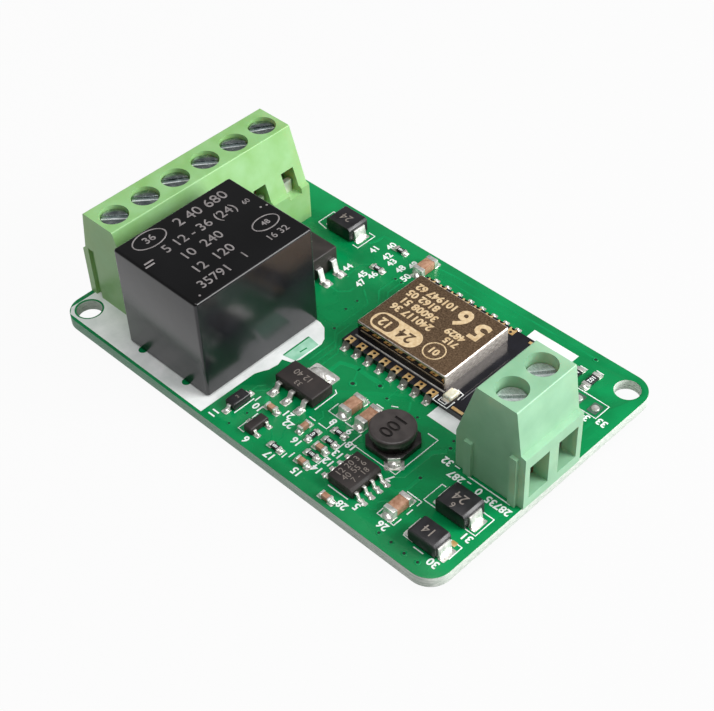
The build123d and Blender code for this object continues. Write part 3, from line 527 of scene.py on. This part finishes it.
# Power inductor: brown disc over a black lower flange, with figures cut out of the disc and coated inside
inductorMark = {"bevel": 0.06, "discDepth": 0.95, "text": "100", "size": 2.55, "turn": -90, "weight": 0.045,
                "depth": 0.12, "smoothAngle": 25}
core = softened("inductor_core", inductorMark["bevel"], ferrite)
core.data.materials.append(inductorCoat)
coreLow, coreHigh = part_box("inductor_core")
coreMiddle = [(low + high) / 2 / mm for low, high in zip(coreLow, coreHigh)]
discTop = coreHigh[2] / mm
facesWhere(core, lambda centre, normal: centre.z < discTop - inductorMark["discDepth"], 1)
cutter = figures(inductorMark["text"], coreMiddle[0], coreMiddle[1], discTop, inductorMark["size"],
                 inductorMark["turn"], inductorMark["weight"])
cutter.scale.z = mm * inductorMark["depth"] / figureRise
cutter.data.materials.append(inductorCoat)
activate(cutter)
bpy.ops.object.transform_apply(location=True, rotation=True, scale=True)
applyModifier(core, "BOOLEAN", object=cutter, operation="DIFFERENCE", solver="EXACT",
              material_mode="TRANSFER")
bpy.data.objects.remove(cutter)
bpy.ops.object.shade_smooth_by_angle(angle=math.radians(inductorMark["smoothAngle"]))
applyModifier(core, "TRIANGULATE", quad_method="BEAUTY", ngon_method="BEAUTY")
print("inductor marked")

# White print on the board: the relay's patch, part outlines and plain figures
boardPrint = {
    "rise": 0.03,
    "lift": 0.008,
    "lineWidth": 0.19,
    "figureSize": 1.45,
    "figureWeight": 0.04,
    "patch": [(-32.3, -19.2), (-31.4, -20.1), (-5.5, -20.1), (-5.45, -11.25), (-5.0, -10.2),
              (-4.64, -9.54), (-4.45, -8.14), (-4.75, -7.17), (-3.52, -6.77), (-3.03, -5.6),
              (-3.03, -1.82), (-3.45, -0.94), (-4.93, 0.52), (-5.96, 0.88), (-22.3, 0.88), (-22.3, -14.0),
              (-32.3, -14.0)],
    "patchHoles": [ring(-30.29, -17.8, 1.95), ring(-19.1, -17.95, 0.6, 24), ring(-10.65, -17.95, 0.6, 24)],
    "slab": [(15.2, -1.95), (22.3, -1.95), (22.3, 18.35), (15.2, 18.35)],
    "lines": [
        [(-2.3, -17.5), (-2.3, -14.2)], [(-1.95, -14.4), (-1.95, -13.4)],
        [(-0.1, -16.6), (-0.1, -15.6)], [(-0.1, -17.4), (-0.1, -18.85), (0.9, -18.85)],
        [(4.9, -11.72), (5.95, -11.72)], [(6.5, -11.75), (7.85, -11.75), (7.85, -10.8)],
        [(4.55, -10.5), (4.55, -6.75), (4.0, -6.4)],
        [(5.95, -7.8), (5.95, -9.5), (8.1, -9.5), (8.15, -7.8)], [(8.1, -7.1), (8.1, -4.85)],
        [(8.75, -9.45), (10.9, -9.45)], [(9.45, -4.7), (10.6, -4.7)],
        [(7.8, -18.0), (7.8, -17.0)], [(7.2, -17.7), (7.2, -18.6)],
        [(11.1, -16.4), (11.1, -15.1)], [(11.1, -13.4), (11.1, -11.7)],
        [(14.3, -17.85), (17.5, -17.85)],
        [(11.6, -9.6), (11.6, -11.4), (18.95, -11.4), (18.95, -4.05), (17.3, -4.05)],
        [(11.6, -5.6), (11.6, -4.05), (13.4, -4.05)],
        [(11.0, -3.75), (11.75, -3.3)],
        [(21.4, -15.8), (21.4, -17.05), (24.0, -17.05), (24.0, -15.8)], [(24.0, -14.9), (24.0, -13.9)],
        [(24.0, -13.2), (24.0, -12.35), (21.7, -12.35)],
        [(24.55, -8.8), (23.9, -8.8), (23.9, -11.95), (27.2, -11.95)],
        [(28.6, -11.95), (31.75, -11.95), (31.75, -8.75), (30.1, -8.75)],
        [(23.1, -5.65), (23.85, -5.65)], [(25.75, -6.52), (26.35, -6.52)],
        [(25.75, -16.0), (25.75, -17.3), (27.2, -17.3)], [(27.7, -17.75), (29.2, -17.75)],
        [(29.85, -14.2), (31.75, -14.2), (31.75, -16.4)], [(25.34, -5.87), (31.67, -5.87)],
        [(25.6, 13.95), (30.45, 13.95), (30.45, 11.35), (25.6, 11.35), (25.6, 13.95)],
        [(25.5, 17.85), (26.6, 17.85)], [(23.5, 17.2), (24.6, 17.2)],
        [(-20.75, 15.0), (-20.75, 18.0), (-18.9, 18.0)], [(-20.75, 15.0), (-18.9, 14.7)],
        [(-13.8, 14.7), (-12.8, 14.7), (-12.8, 18.0), (-13.9, 18.0)],
    ],
    "figures": [
        ("11", -4.1, -19.2, 90), ("10", -0.85, -14.85, 180), ("6", 1.95, -19.45, 180),
        ("21", 2.75, -13.2, 180), ("22", 3.9, -14.3, 180), ("8", 7.65, -10.35, 180),
        ("9", 10.2, -10.1, 180), ("18", 12.0, -11.7, 180), ("13", 11.75, -13.7, 180),
        ("12", 11.8, -15.3, 180), ("14", 11.6, -17.0, 180), ("15", 10.15, -18.9, 180),
        ("16", 6.7, -15.6, 180), ("17", 5.95, -19.3, 180), ("28", 17.6, -18.9, 180),
        ("5", 19.0, -17.9, 180), ("7", 18.9, -12.15, 180), ("26", 23.1, -17.9, 180),
        ("32", 22.0, -5.75, 180), ("287", 24.35, -6.85, 180), ("0", 27.75, -6.75, 180),
        ("28735", 30.75, -6.9, 180), ("31", 31.2, -12.75, 180), ("30", 30.85, -17.95, 180),
        ("33", 31.4, 11.3, 180), ("34", 29.2, 10.7, 180), ("41", -10.9, 16.0, 90), ("42", -8.6, 16.1, 90),
        ("43", -7.3, 15.6, 90), ("40", -9.65, 18.0, 90), ("44", -11.0, 10.9, 90), ("45", -8.5, 11.2, 90),
        ("46", -7.4, 12.0, 90), ("47", -7.5, 9.8, 90), ("48", -5.5, 15.4, 90), ("49", -4.75, 17.15, 90),
        ("50", -3.8, 14.6, 90), ("51", -17.6, 12.3, 90),
    ],
}
inkHeight = boardTop + boardPrint["lift"]
ink = [flatArea([boardPrint["patch"], *boardPrint["patchHoles"]], boardPrint["rise"], inkHeight)]
ink.append(flatArea([boardPrint["slab"]], boardPrint["rise"], inkHeight))
for line in boardPrint["lines"]:
    ink.append(flatLine(line, boardPrint["lineWidth"], boardPrint["rise"], inkHeight))
for text, x, y, turn in boardPrint["figures"]:
    ink.append(figures(text, x, y, inkHeight, boardPrint["figureSize"], turn, boardPrint["figureWeight"]))
joined(ink, "board_print", whiteInk)
print("board print made:", len(boardPrint["lines"]), "lines")

# Grey print on the relay: rows of plain figures and plain outlines
relayPrint = {
    "height": 16.97,
    "rise": 0.02,
    "turn": 90,
    "rows": [("2 40 680", -19.55, -5.6, 2.35), ("5 12 - 36 (24)", -16.75, -8.2, 2.1),
             ("10  240", -14.1, -10.2, 2.1), ("12  120", -11.25, -10.9, 2.1), ("35791", -8.7, -12.9, 2.0),
             ("1", -8.95, -7.9, 1.7), ("16 32", -9.0, -2.4, 1.5), ("60", -16.4, -0.9, 1.1)],
    "ovals": [(-19.75, -13.8, 2.4, 0.62), (-11.55, -2.05, 1.95, 0.62)],
    "ovalRows": [("36", -19.75, -13.8, 1.7), ("48", -11.55, -2.05, 1.2)],
    "bars": [[(-16.5, -17.3), (-16.5, -15.9)], [(-15.9, -17.6), (-15.9, -16.2)]],
    "dots": [(-14.2, -0.4), (-13.95, 0.4), (-7.45, -16.4)],
    "weight": 0.01,
    "ovalWeight": 0.02,
    "ovalWidth": 0.2,
    "barWidth": 0.3,
    "dotRadius": 0.16,
}
ink = []
for rows, weight in (("rows", "weight"), ("ovalRows", "ovalWeight")):
    for text, x, y, size in relayPrint[rows]:
        ink.append(figures(text, x, y, relayPrint["height"], size, relayPrint["turn"], relayPrint[weight]))
for x, y, reach, squeeze in relayPrint["ovals"]:
    oval = [(x + (px - x) * squeeze, py) for px, py in ring(x, y, reach)]
    ink.append(flatLine(oval, relayPrint["ovalWidth"], relayPrint["rise"], relayPrint["height"], closed=True))
for bar in relayPrint["bars"]:
    ink.append(flatLine(bar, relayPrint["barWidth"], relayPrint["rise"], relayPrint["height"]))
for x, y in relayPrint["dots"]:
    ink.append(flatArea([ring(x, y, relayPrint["dotRadius"], 12)], relayPrint["rise"], relayPrint["height"]))
joined(ink, "relay_print", relayInk)

# Cream print on the radio can: a rounded plate with figures left bare in it, a ring and rows of figures
shieldPrint = {
    "height": 4.605,
    "bareHeight": 4.62,
    "rise": 0.02,
    "turn": 180,
    "plate": (0.45, 2.6, 8.3, 5.85, 1.6),
    "bareBox": (0.85, 3.0, 4.15, 5.45, 0.8),
    "boxFigures": ("12", 2.5, 4.22, 1.9),
    "bareFigures": ("24", 6.0, 4.22, 2.4),
    "bareWeight": 0.04,
    "weight": 0.06,
    "largeWeight": 0.14,
    "lineWidth": 0.2,
    "rows": [("240117 36", 4.1, 7.3, 1.6), ("36008 51", 3.9, 8.9, 1.6), ("8162 05", 3.2, 10.5, 1.6),
             ("101947 62", 4.1, 12.1, 1.6), ("4829", 10.4, 8.5, 1.5), ("715", 10.9, 7.1, 1.4),
             ("01", 10.4, 4.6, 1.5)],
    "largeRows": [("6", 9.2, 11.5, 4.3), ("5", 12.3, 11.0, 4.3)],
    "ring": (10.4, 4.6, 1.45),
}


def canFigures(row, height, weight):
    text, x, y, size = row
    return figures(text, x, y, shieldPrint[height], size, shieldPrint["turn"], shieldPrint[weight])


ink = [canFigures(row, "height", "weight") for row in shieldPrint["rows"]]
ink += [canFigures(row, "height", "largeWeight") for row in shieldPrint["largeRows"]]
ink.append(flatArea([roundedBox(*shieldPrint["plate"]), roundedBox(*shieldPrint["bareBox"])],
                    shieldPrint["rise"], shieldPrint["height"]))
ink.append(canFigures(shieldPrint["boxFigures"], "height", "weight"))
ink.append(flatLine(ring(*shieldPrint["ring"]), shieldPrint["lineWidth"], shieldPrint["rise"],
                    shieldPrint["height"], closed=True))
joined(ink, "radio_shield_print", shieldInk)
bare = [canFigures(shieldPrint["bareFigures"], "bareHeight", "bareWeight")]
joined(bare, "radio_shield_bare_figures", shieldTop)

# On the module's own board: the can's soldered rim, the lamp's outline, the aerial's ends and its meander
modulePrint = {
    "height": 2.405,
    "inkRise": 0.02,
    "padRise": 0.04,
    "rimWidth": 0.2,
    "lampLineWidth": 0.17,
    "aerialWidth": 0.5,
    "aerialHeight": 2.4,
    "rim": [(-0.4, 1.72), (14.75, 1.72)],
    "lampLines": [[(15.0, 1.0), (15.0, 0.3), (16.1, 0.3), (16.1, 1.0)],
                  [(14.4, 1.0), (14.4, -0.05), (16.7, -0.05), (16.7, 1.4)],
                  [(16.7, 1.9), (16.7, 3.0), (15.6, 3.2)]],
    "aerialEnds": [[(17.0, 0.55), (18.8, 0.55)], [(16.6, 15.5), (18.4, 15.5)]],
    "aerial": [(16.9, 2.2), (16.9, 14.4), (18.2, 14.4), (18.2, 3.4), (19.5, 3.4), (19.5, 14.4),
               (20.8, 14.4), (20.8, 3.4), (22.0, 3.4), (22.0, 14.8)],
}
rim = flatLine(modulePrint["rim"], modulePrint["rimWidth"], modulePrint["rimWidth"], modulePrint["height"])
joined([rim], "radio_shield_rim", brightSolder)
lampLines = [flatLine(line, modulePrint["lampLineWidth"], modulePrint["inkRise"], modulePrint["height"])
             for line in modulePrint["lampLines"]]
joined(lampLines, "radio_lamp_outline", whiteInk)
aerialEnds = [flatLine(line, modulePrint["aerialWidth"], modulePrint["padRise"], modulePrint["height"])
              for line in modulePrint["aerialEnds"]]
joined(aerialEnds, "radio_aerial_ends", goldPad)
aerial = flatLine(modulePrint["aerial"], modulePrint["aerialWidth"], modulePrint["padRise"],
                  modulePrint["aerialHeight"])
joined([aerial], "radio_aerial", blackMask)

# Laser marks: plain figures, a shade lighter than the epoxy, each with its place, height, size and turn
markShape = {"lift": 0.004, "squeeze": 0.5, "chipWeight": 0.0, "resistorWeight": 0.02}
chipMarks = [("12 20 3", 14.85, -15.1, 3.1, 1.2, 90), ("40 55 6", 15.9, -15.1, 3.1, 1.2, 90),
             ("7 - 18", 16.9, -15.1, 3.1, 1.1, 90), ("12 40", 0.6, -8.4, 3.25, 1.3, 180),
             ("33", 1.0, -9.7, 3.25, 1.1, 180), ("35", -15.6, 8.2, 5.1, 1.3, 90),
             ("24", 28.1, -10.3, 3.9, 1.9, 180), ("6", 28.1, -11.7, 3.9, 1.2, 180),
             ("24", -16.5, 16.4, 3.9, 1.8, 180), ("14", 28.6, -16.1, 3.7, 1.7, 180),
             ("3", -3.2, -16.0, 2.7, 0.8, 90)]
marks = [figures(text, x, y, z + markShape["lift"], size, turn, markShape["chipWeight"])
         for text, x, y, z, size, turn in chipMarks]
for mark in marks:
    mark.scale.z = mm * markShape["squeeze"]
joined(marks, "chip_marks", laserMark)

# White plain figures on the resistors
resistorMarks = [("103", 5.62, -18.05, 2.0, 0.5, 180), ("472", 7.51, -13.7, 2.0, 0.5, 270),
                 ("102", 9.8, -13.04, 2.0, 0.5, 180), ("103", 9.61, -11.29, 2.0, 0.5, 180),
                 ("221", 9.68, -15.95, 2.0, 0.5, 180), ("103", -7.94, 18.05, 2.0, 0.5, 180),
                 ("102", -7.71, 13.3, 2.0, 0.5, 180), ("102", 26.2, 15.9, 2.05, 0.85, 270),
                 ("102", 24.05, 15.3, 2.05, 0.85, 270)]
marks = [figures(text, x, y, z + markShape["lift"], size, turn, markShape["resistorWeight"])
         for text, x, y, z, size, turn in resistorMarks]
joined(marks, "resistor_marks", whiteInk)
print("relay, can, module and chips marked")

# A slot in the patch beside the relay's contacts, painted: pale green for its lit inner wall, green painted
# shadow lines at its far edge
paintedSlot = {
    "area": [(-5.2, -6.6), (-5.2, -1.95), (-3.2, -2.2), (-3.3, -6.2)],
    "slotShadows": [[(-5.15, -6.5), (-5.15, -2.0)], [(-4.0, -4.75), (-3.9, -3.6)]],
    "shadowWidth": 0.28,
    "rise": 0.012,
    "height": boardTop + 0.03,
}
slotWall = flatArea([paintedSlot["area"]], paintedSlot["rise"], paintedSlot["height"])
joined([slotWall], "painted_slot", slotWallPaint)
# green lines along the slot's far edge: painted shadow
slotShadows = [flatLine(shadowLine, paintedSlot["shadowWidth"], paintedSlot["rise"], paintedSlot["height"])
        for shadowLine in paintedSlot["slotShadows"]]
joined(slotShadows, "painted_slot_shadow", trackMask)

# Copper tracks under the mask, drawn as low rounded ridges
boardTracks = {
    "rise": 0.02,
    "sunk": 0.0125,
    "tracks": [
        (0.9, [(-2.4, -10.6), (-1.2, -11.9), (-1.27, -13.0), (-0.2, -14.1)]),
        (0.35, [(-3.2, -13.2), (-2.2, -12.2), (-1.9, -10.9)]),
        (0.3, [(-4.6, -16.5), (-3.6, -15.5), (-3.6, -12.4), (-2.9, -11.6)]),
        (1.1, [(1.03, -5.3), (1.03, -2.6), (2.9, -1.9), (7.7, -1.9)]),
        (0.35, [(1.03, -12.4), (1.9, -13.4), (3.6, -13.4)]),
        (0.3, [(3.3, -12.4), (4.3, -12.9), (4.3, -15.5), (5.0, -16.4), (5.0, -17.2)]),
        (0.3, [(2.8, -16.2), (3.8, -16.9), (4.6, -18.0)]),
        (0.3, [(6.9, -13.0), (6.2, -11.9), (6.2, -10.6), (5.4, -10.0)]),
        (0.3, [(8.6, -14.6), (8.0, -15.2), (8.0, -16.6)]), (0.3, [(11.2, -14.5), (12.3, -14.5)]),
        (0.3, [(11.0, -17.6), (12.0, -17.2), (12.5, -17.0)]),
        (0.8, [(19.2, -13.2), (20.6, -13.2), (21.4, -12.2), (21.4, -10.2)]),
        (0.6, [(19.2, -17.0), (20.4, -17.0), (20.9, -16.5)]),
        (0.35, [(19.2, -15.7), (20.3, -15.7), (20.8, -15.0), (21.4, -14.6)]),
        (1.2, [(18.4, -11.9), (19.7, -10.9), (19.7, -6.0), (20.9, -4.6)]),
        (0.4, [(13.0, -4.6), (13.0, -2.7), (12.2, -1.6)]),
        (0.35, [(3.7, -1.0), (3.7, -2.2), (4.8, -4.2)]), (0.35, [(7.6, -2.2), (7.6, -1.0)]),
        (0.3, [(9.7, -1.0), (9.7, -2.9)]),
        (0.35, [(-2.2, -4.9), (-2.2, -0.4), (-3.9, 1.5), (-3.9, 7.5), (-6.3, 9.2)]),
        (0.35, [(-1.3, -5.3), (-1.3, -1.2), (-2.9, 0.8), (-2.9, 8.4), (-4.7, 10.4), (-4.7, 13.2)]),
        (0.35, [(-0.4, -4.9), (-0.4, -1.6), (-1.9, 0.4), (-1.9, 9.0), (-3.6, 11.0), (-3.6, 13.2)]),
        (0.5, [(-10.2, 6.6), (-8.6, 6.6), (-7.5, 7.7), (-7.5, 8.6)]),
        (0.35, [(-8.2, 13.3), (-9.2, 13.3), (-10.0, 12.5), (-10.0, 9.9)]),
        (0.3, [(-5.4, 17.0), (-6.7, 18.1)]),
        (0.8, [(-12.4, 16.4), (-11.9, 17.5), (-11.9, 18.9), (-9.0, 18.9)]),
        (0.5, [(-1.8, 18.9), (1.0, 19.2), (12.0, 19.2), (14.0, 19.4), (24.0, 19.4)]),
        (0.35, [(0.4, 17.9), (10.4, 17.9), (12.0, 18.6)]),
        (0.8, [(30.4, 10.6), (30.4, 7.2), (31.5, 6.0)]), (0.4, [(26.8, 10.5), (26.8, 6.0)]),
    ],
}
trackHeight = boardTop - boardTracks["sunk"]
ridges = [flatLine(points, width, boardTracks["rise"], trackHeight)
          for width, points in boardTracks["tracks"]]
joined(ridges, "board_tracks", trackMask)

# Plated through holes: a low collar, and the dark drilled middle
boardVias = {
    "places": [(4.79, -4.19, 0.55), (7.6, -2.2, 0.5), (-1.13, -16.47, 0.3), (-1.5, -19.08, 0.3),
               (27.57, -19.14, 0.38), (29.52, -19.04, 0.38), (25.44, -19.0, 0.38), (23.5, -18.95, 0.36),
               (20.9, -4.0, 0.42), (21.4, -9.8, 0.42), (-3.9, 1.3, 0.4), (-4.7, 13.5, 0.36),
               (-3.6, 13.5, 0.36), (9.7, -3.2, 0.36), (-10.0, 9.6, 0.36), (24.2, 19.3, 0.4),
               (31.6, 5.8, 0.4), (26.8, 5.8, 0.4), (5.0, -17.5, 0.32), (14.6, -3.0, 0.36),
               (20.4, -2.9, 0.36), (-5.4, 4.9, 0.36), (-5.4, 7.0, 0.36), (16.9, -19.6, 0.32)],
    "rise": 0.05,
    "collarShare": 0.26,
    "middleShare": 0.52,
    "middleRise": 0.03,
    "middleLift": 0.006,
}
bpy.ops.object.select_all(action="DESELECT")
collarShare = boardVias["collarShare"]
bpy.ops.mesh.primitive_torus_add(major_radius=1 - collarShare, minor_radius=collarShare, major_segments=28,
                                 minor_segments=8)
collarShape = bpy.context.object
collars = [copyOf(collarShape, x, y, boardTop, radius, radius, boardVias["rise"] / collarShare)
           for x, y, radius in boardVias["places"]]
bpy.data.objects.remove(collarShape)
joined(collars, "via_collars", trackMask)
drilled = [flatArea([ring(x, y, radius * boardVias["middleShare"], 16)], boardVias["middleRise"],
                    boardTop + boardVias["middleLift"]) for x, y, radius in boardVias["places"]]
joined(drilled, "via_middles", drilledHole)
print("tracks and vias made")

# Solder: flat pads, and the lumps that wet the ends of the parts
solderShape = {"padCorner": 0.12, "padRise": 0.05, "lumpFloor": -0.05, "cloudSize": 0.9, "cloudDepth": 0.3,
               "facesKept": 0.5}
padOutline = roundedBox(-0.5, -0.5, 0.5, 0.5, solderShape["padCorner"], steps=3)
count = len(padOutline)
padFaces = [list(reversed(range(count))), list(range(count, 2 * count))]
padFaces += [(i, (i + 1) % count, (i + 1) % count + count, i + count) for i in range(count)]
padMesh = bpy.data.meshes.new("pad")
padMesh.from_pydata([(x, y, z) for z in (0, 1) for x, y in padOutline], [], padFaces)
pad = bpy.data.objects.new("pad", padMesh)

bpy.ops.object.select_all(action="DESELECT")
bpy.ops.mesh.primitive_ico_sphere_add(subdivisions=4, radius=1)
lump = bpy.context.object
bpy.ops.object.mode_set(mode="EDIT")
bpy.ops.mesh.select_all(action="SELECT")
bpy.ops.mesh.bisect(plane_co=(0, 0, solderShape["lumpFloor"]), plane_no=(0, 0, 1), clear_inner=True,
                    use_fill=True)
bpy.ops.object.mode_set(mode="OBJECT")
clouds = bpy.data.textures.new("lumpiness", "CLOUDS")
clouds.noise_scale = solderShape["cloudSize"]
applyModifier(lump, "DISPLACE", texture=clouds, strength=solderShape["cloudDepth"], mid_level=0.5)
applyModifier(lump, "DECIMATE", ratio=solderShape["facesKept"])
activate(lump)
bpy.ops.object.shade_smooth()
pads = []
lumps = []


def addPad(x, y, length, width, turn=0):
    pads.append(copyOf(pad, x, y, boardTop, length, width, solderShape["padRise"], turn))


def addLump(x, y, sizeX, sizeY, rise, turn=0):
    lumps.append(copyOf(lump, x, y, boardTop, sizeX, sizeY, rise, turn))


# Two ends each: how far a pad lies from the chip's middle, its size, its lump's rise, and the chips
chipJoints = {
    "small": {"reach": 0.82, "length": 0.85, "width": 0.95, "rise": 0.42, "places": [
        (0.76, -14.05, 0), (5.85, -13.5, 90), (9.76, -14.61, 0), (9.76, -17.6, 0), (15.69, -19.49, 0),
        (5.62, -18.05, 0), (7.51, -13.7, 90), (9.8, -13.04, 0), (9.61, -11.29, 0), (9.68, -15.95, 0),
        (-7.94, 18.05, 0), (-7.71, 13.3, 0)]},
    "large": {"reach": 1.62, "length": 1.25, "width": 1.7, "rise": 0.55, "places": [
        (7.87, -7.25, 90), (10.63, -7.3, 90), (22.68, -14.9, 90), (-2.93, 17.5, 90)]},
    "corner": {"reach": 1.32, "length": 0.85, "width": 1.15, "rise": 0.42, "places": [
        (26.2, 15.9, 90), (24.05, 15.3, 90)]},
}
lumpReach = 1.04    # a lump sits a little farther out than its pad
lumpShare = 0.46    # half of a lump, as a share of its pad
for joint in chipJoints.values():
    length, width = joint["length"], joint["width"]
    for x, y, turn in joint["places"]:
        for side in (-1, 1):
            dx = side * joint["reach"] * math.cos(math.radians(turn))
            dy = side * joint["reach"] * math.sin(math.radians(turn))
            addPad(x + dx, y + dy, length, width, turn)
            addLump(x + dx * lumpReach, y + dy * lumpReach, length * lumpShare, width * lumpShare,
                    joint["rise"], turn + (180 if side > 0 else 0))

# Leads of the larger parts: each foot's place, half sizes and rise, where the flattest get no lump
leadJoints = {
    "padShare": (2.2, 2.15),
    "flatRise": 0.2,
    "feet": [
        (-1.27, -11.95, 0.52, 0.62, 0.5), (1.03, -11.95, 0.52, 0.62, 0.5), (3.33, -11.95, 0.52, 0.62, 0.5),
        (1.03, -5.5, 1.9, 0.9, 0.45), (2.5, -18.15, 0.4, 0.32, 0.32), (2.5, -16.25, 0.4, 0.32, 0.32),
        (0.2, -17.2, 0.4, 0.32, 0.32), (-3.23, -14.0, 0.4, 0.42, 0.4), (-3.23, -17.95, 0.42, 0.45, 0.4),
        (-10.8, 6.65, 0.7, 0.62, 0.55), (-10.8, 9.19, 0.7, 0.62, 0.55), (-20.2, 6.65, 0.6, 0.62, 0.5),
        (-20.2, 9.19, 0.6, 0.62, 0.5), (31.25, -16.09, 0.42, 1.05, 0.2), (26.0, -16.09, 0.4, 1.0, 0.2),
        (30.95, -10.51, 0.4, 1.05, 0.2), (25.35, -10.51, 0.4, 1.0, 0.2), (-13.75, 16.4, 0.42, 1.05, 0.2),
        (-19.25, 16.4, 0.4, 1.0, 0.2)],
    "converterRows": (-17.01, -15.74, -14.47, -13.2),
}
leadFeet = list(leadJoints["feet"])
for y in leadJoints["converterRows"]:
    leadFeet += [(19.05, y, 0.62, 0.27, 0.26), (13.1, y, 0.5, 0.27, 0.26)]
for x, y, sizeX, sizeY, rise in leadFeet:
    addPad(x, y, sizeX * leadJoints["padShare"][0], sizeY * leadJoints["padShare"][1])
    if rise > leadJoints["flatRise"]:
        addLump(x, y, sizeX, sizeY, rise, 7 * x)

# The inductor's two terminals, and the radio module's edge pads along both of its long sides
inductorJoints = {"pad": (1.9, 2.4), "lump": (0.75, 0.85, 0.55),
                  "places": ((17.75, -10.37, -45), (12.91, -5.54, 135))}
for x, y, turn in inductorJoints["places"]:
    addPad(x, y, *inductorJoints["pad"], turn)
    addLump(x, y, *inductorJoints["lump"], turn)
edgeJoints = {"first": -0.31, "pitch": 2, "count": 8, "rows": ((-0.42, -1), (16.62, 1)), "pad": (0.9, 1.1),
              "lump": (0.24, 0.34, 0.45), "lumpShift": 0.12}
for index in range(edgeJoints["count"]):
    x = edgeJoints["first"] + edgeJoints["pitch"] * index
    for y, side in edgeJoints["rows"]:
        addPad(x, y, *edgeJoints["pad"])
        addLump(x, y + side * edgeJoints["lumpShift"], *edgeJoints["lump"])

# Pads with no lump: by the module's lamp, a bare gold one, and the two of the empty header
lonePads = {"lamp": {"x": 15.7, "rows": (0.85, 2.85), "height": 2.4, "size": (1.1, 0.55, 0.04)},
            "bare": {"place": (30.7, -14.4), "size": (0.8, 0.7, 0.045)},
            "header": {"columns": (29.36, 26.82), "y": 12.6, "size": (1.35, 1.75, 0.03)}}
lampPads, header = lonePads["lamp"], lonePads["header"]
for y in lampPads["rows"]:
    pads.append(copyOf(pad, lampPads["x"], y, lampPads["height"], *lampPads["size"]))
barePad = copyOf(pad, *lonePads["bare"]["place"], boardTop, *lonePads["bare"]["size"])
joined([barePad], "bare_gold_pad", goldPad)
headerPads = [copyOf(pad, x, header["y"], boardTop, *header["size"]) for x in header["columns"]]
joined(headerPads, "header_pads", shadedTin)
bpy.data.objects.remove(pad)
bpy.data.objects.remove(lump)
joined(pads, "solder_pads", brightSolder)
joined(lumps, "solder_lumps", brightSolder)
print("solder made")

# Floor: paper that the camera and the mirrors see as white, and that the part's other faces see as grey
paperFloor = {"colour": "#A2A2A2", "roughness": 0.9, "whiteShare": 0.95, "radius": 4, "height": -1.85}
floorMaterial = newMaterial("paperSweep", paperFloor["colour"], Roughness=paperFloor["roughness"])
path = addNode(floorMaterial, "LightPath")
seen = addNode(floorMaterial, "Math", {0: (path, "Is Camera Ray"), 1: (path, "Is Glossy Ray")},
               operation="ADD")
seen = addNode(floorMaterial, "Math", {0: (seen, 0), 1: (path, "Is Transmission Ray")}, operation="ADD")
share = addNode(floorMaterial, "Math", {0: (seen, 0), 1: paperFloor["whiteShare"]}, operation="MULTIPLY",
                use_clamp=True)
white = addNode(floorMaterial, "Emission", {"Color": (1, 1, 1, 1), "Strength": 1.0})
paper = floorMaterial.node_tree.nodes["Principled BSDF"]
mixed = addNode(floorMaterial, "MixShader", {0: (share, 0), 1: (paper, 0), 2: (white, 0)})
output = floorMaterial.node_tree.nodes["Material Output"]
floorMaterial.node_tree.links.new(mixed.outputs[0], output.inputs["Surface"])
bpy.ops.mesh.primitive_circle_add(vertices=96, radius=paperFloor["radius"], fill_type="NGON",
                                  location=(0, 0, paperFloor["height"] * mm))
floor = bpy.context.object
floor.name = "paper_floor"
floor.data.materials.append(floorMaterial)

# Light: a dim, even white room, a key panel from +X and +Y, and a weaker one above, in metres
studio = {"colour": "#FFFFFF", "strength": 0.26}
world = bpy.context.scene.world or bpy.data.worlds.new("studio")
bpy.context.scene.world = world
world.use_nodes = True
room = world.node_tree.nodes["Background"]
room.inputs["Color"].default_value = hexColour(studio["colour"])
room.inputs["Strength"].default_value = studio["strength"]

lamps = {
    "keyPanel": {"place": (0.42, 0.28, 0.27), "size": 0.34, "power": 4.5},
    "topPanel": {"place": (0.05, -0.05, 0.6), "size": 0.4, "power": 1.8},
}
for lampName, lamp in lamps.items():
    light = bpy.data.lights.new(lampName, "AREA")
    light.shape = "SQUARE"
    light.size = lamp["size"]
    light.energy = lamp["power"]
    lampObject = bpy.data.objects.new(lampName, light)
    bpy.context.scene.collection.objects.link(lampObject)
    lampObject.location = lamp["place"]
    lampObject.rotation_euler = (-Vector(lamp["place"])).to_track_quat("-Z", "Y").to_euler()
bpy.context.scene.view_settings.view_transform = "Standard"

# Camera where the photograph was taken from, in metres
cameraView = {
    "place": (0.10037494, -0.09422143, 0.13472306),
    "right": (0.71294481, 0.70039392, -0.0340302),
    "up": (-0.47274159, 0.51592276, 0.71438022),
    "forward": (-0.51790452, 0.49322617, -0.69892979),
    "lens": 76.26,
    "sensor": 36,
    "clipStart": 0.005,
}
cameraData = bpy.data.cameras.new("photoCamera")
cameraData.lens = cameraView["lens"]
cameraData.sensor_width = cameraView["sensor"]
cameraData.clip_start = cameraView["clipStart"]
camera = bpy.data.objects.new("photoCamera", cameraData)
bpy.context.scene.collection.objects.link(camera)
turn = Matrix((cameraView["right"], cameraView["up"], -Vector(cameraView["forward"]))).transposed()
camera.matrix_world = Matrix.Translation(cameraView["place"]) @ turn.to_4x4()
bpy.context.scene.camera = camera
print("floor, light and camera set")
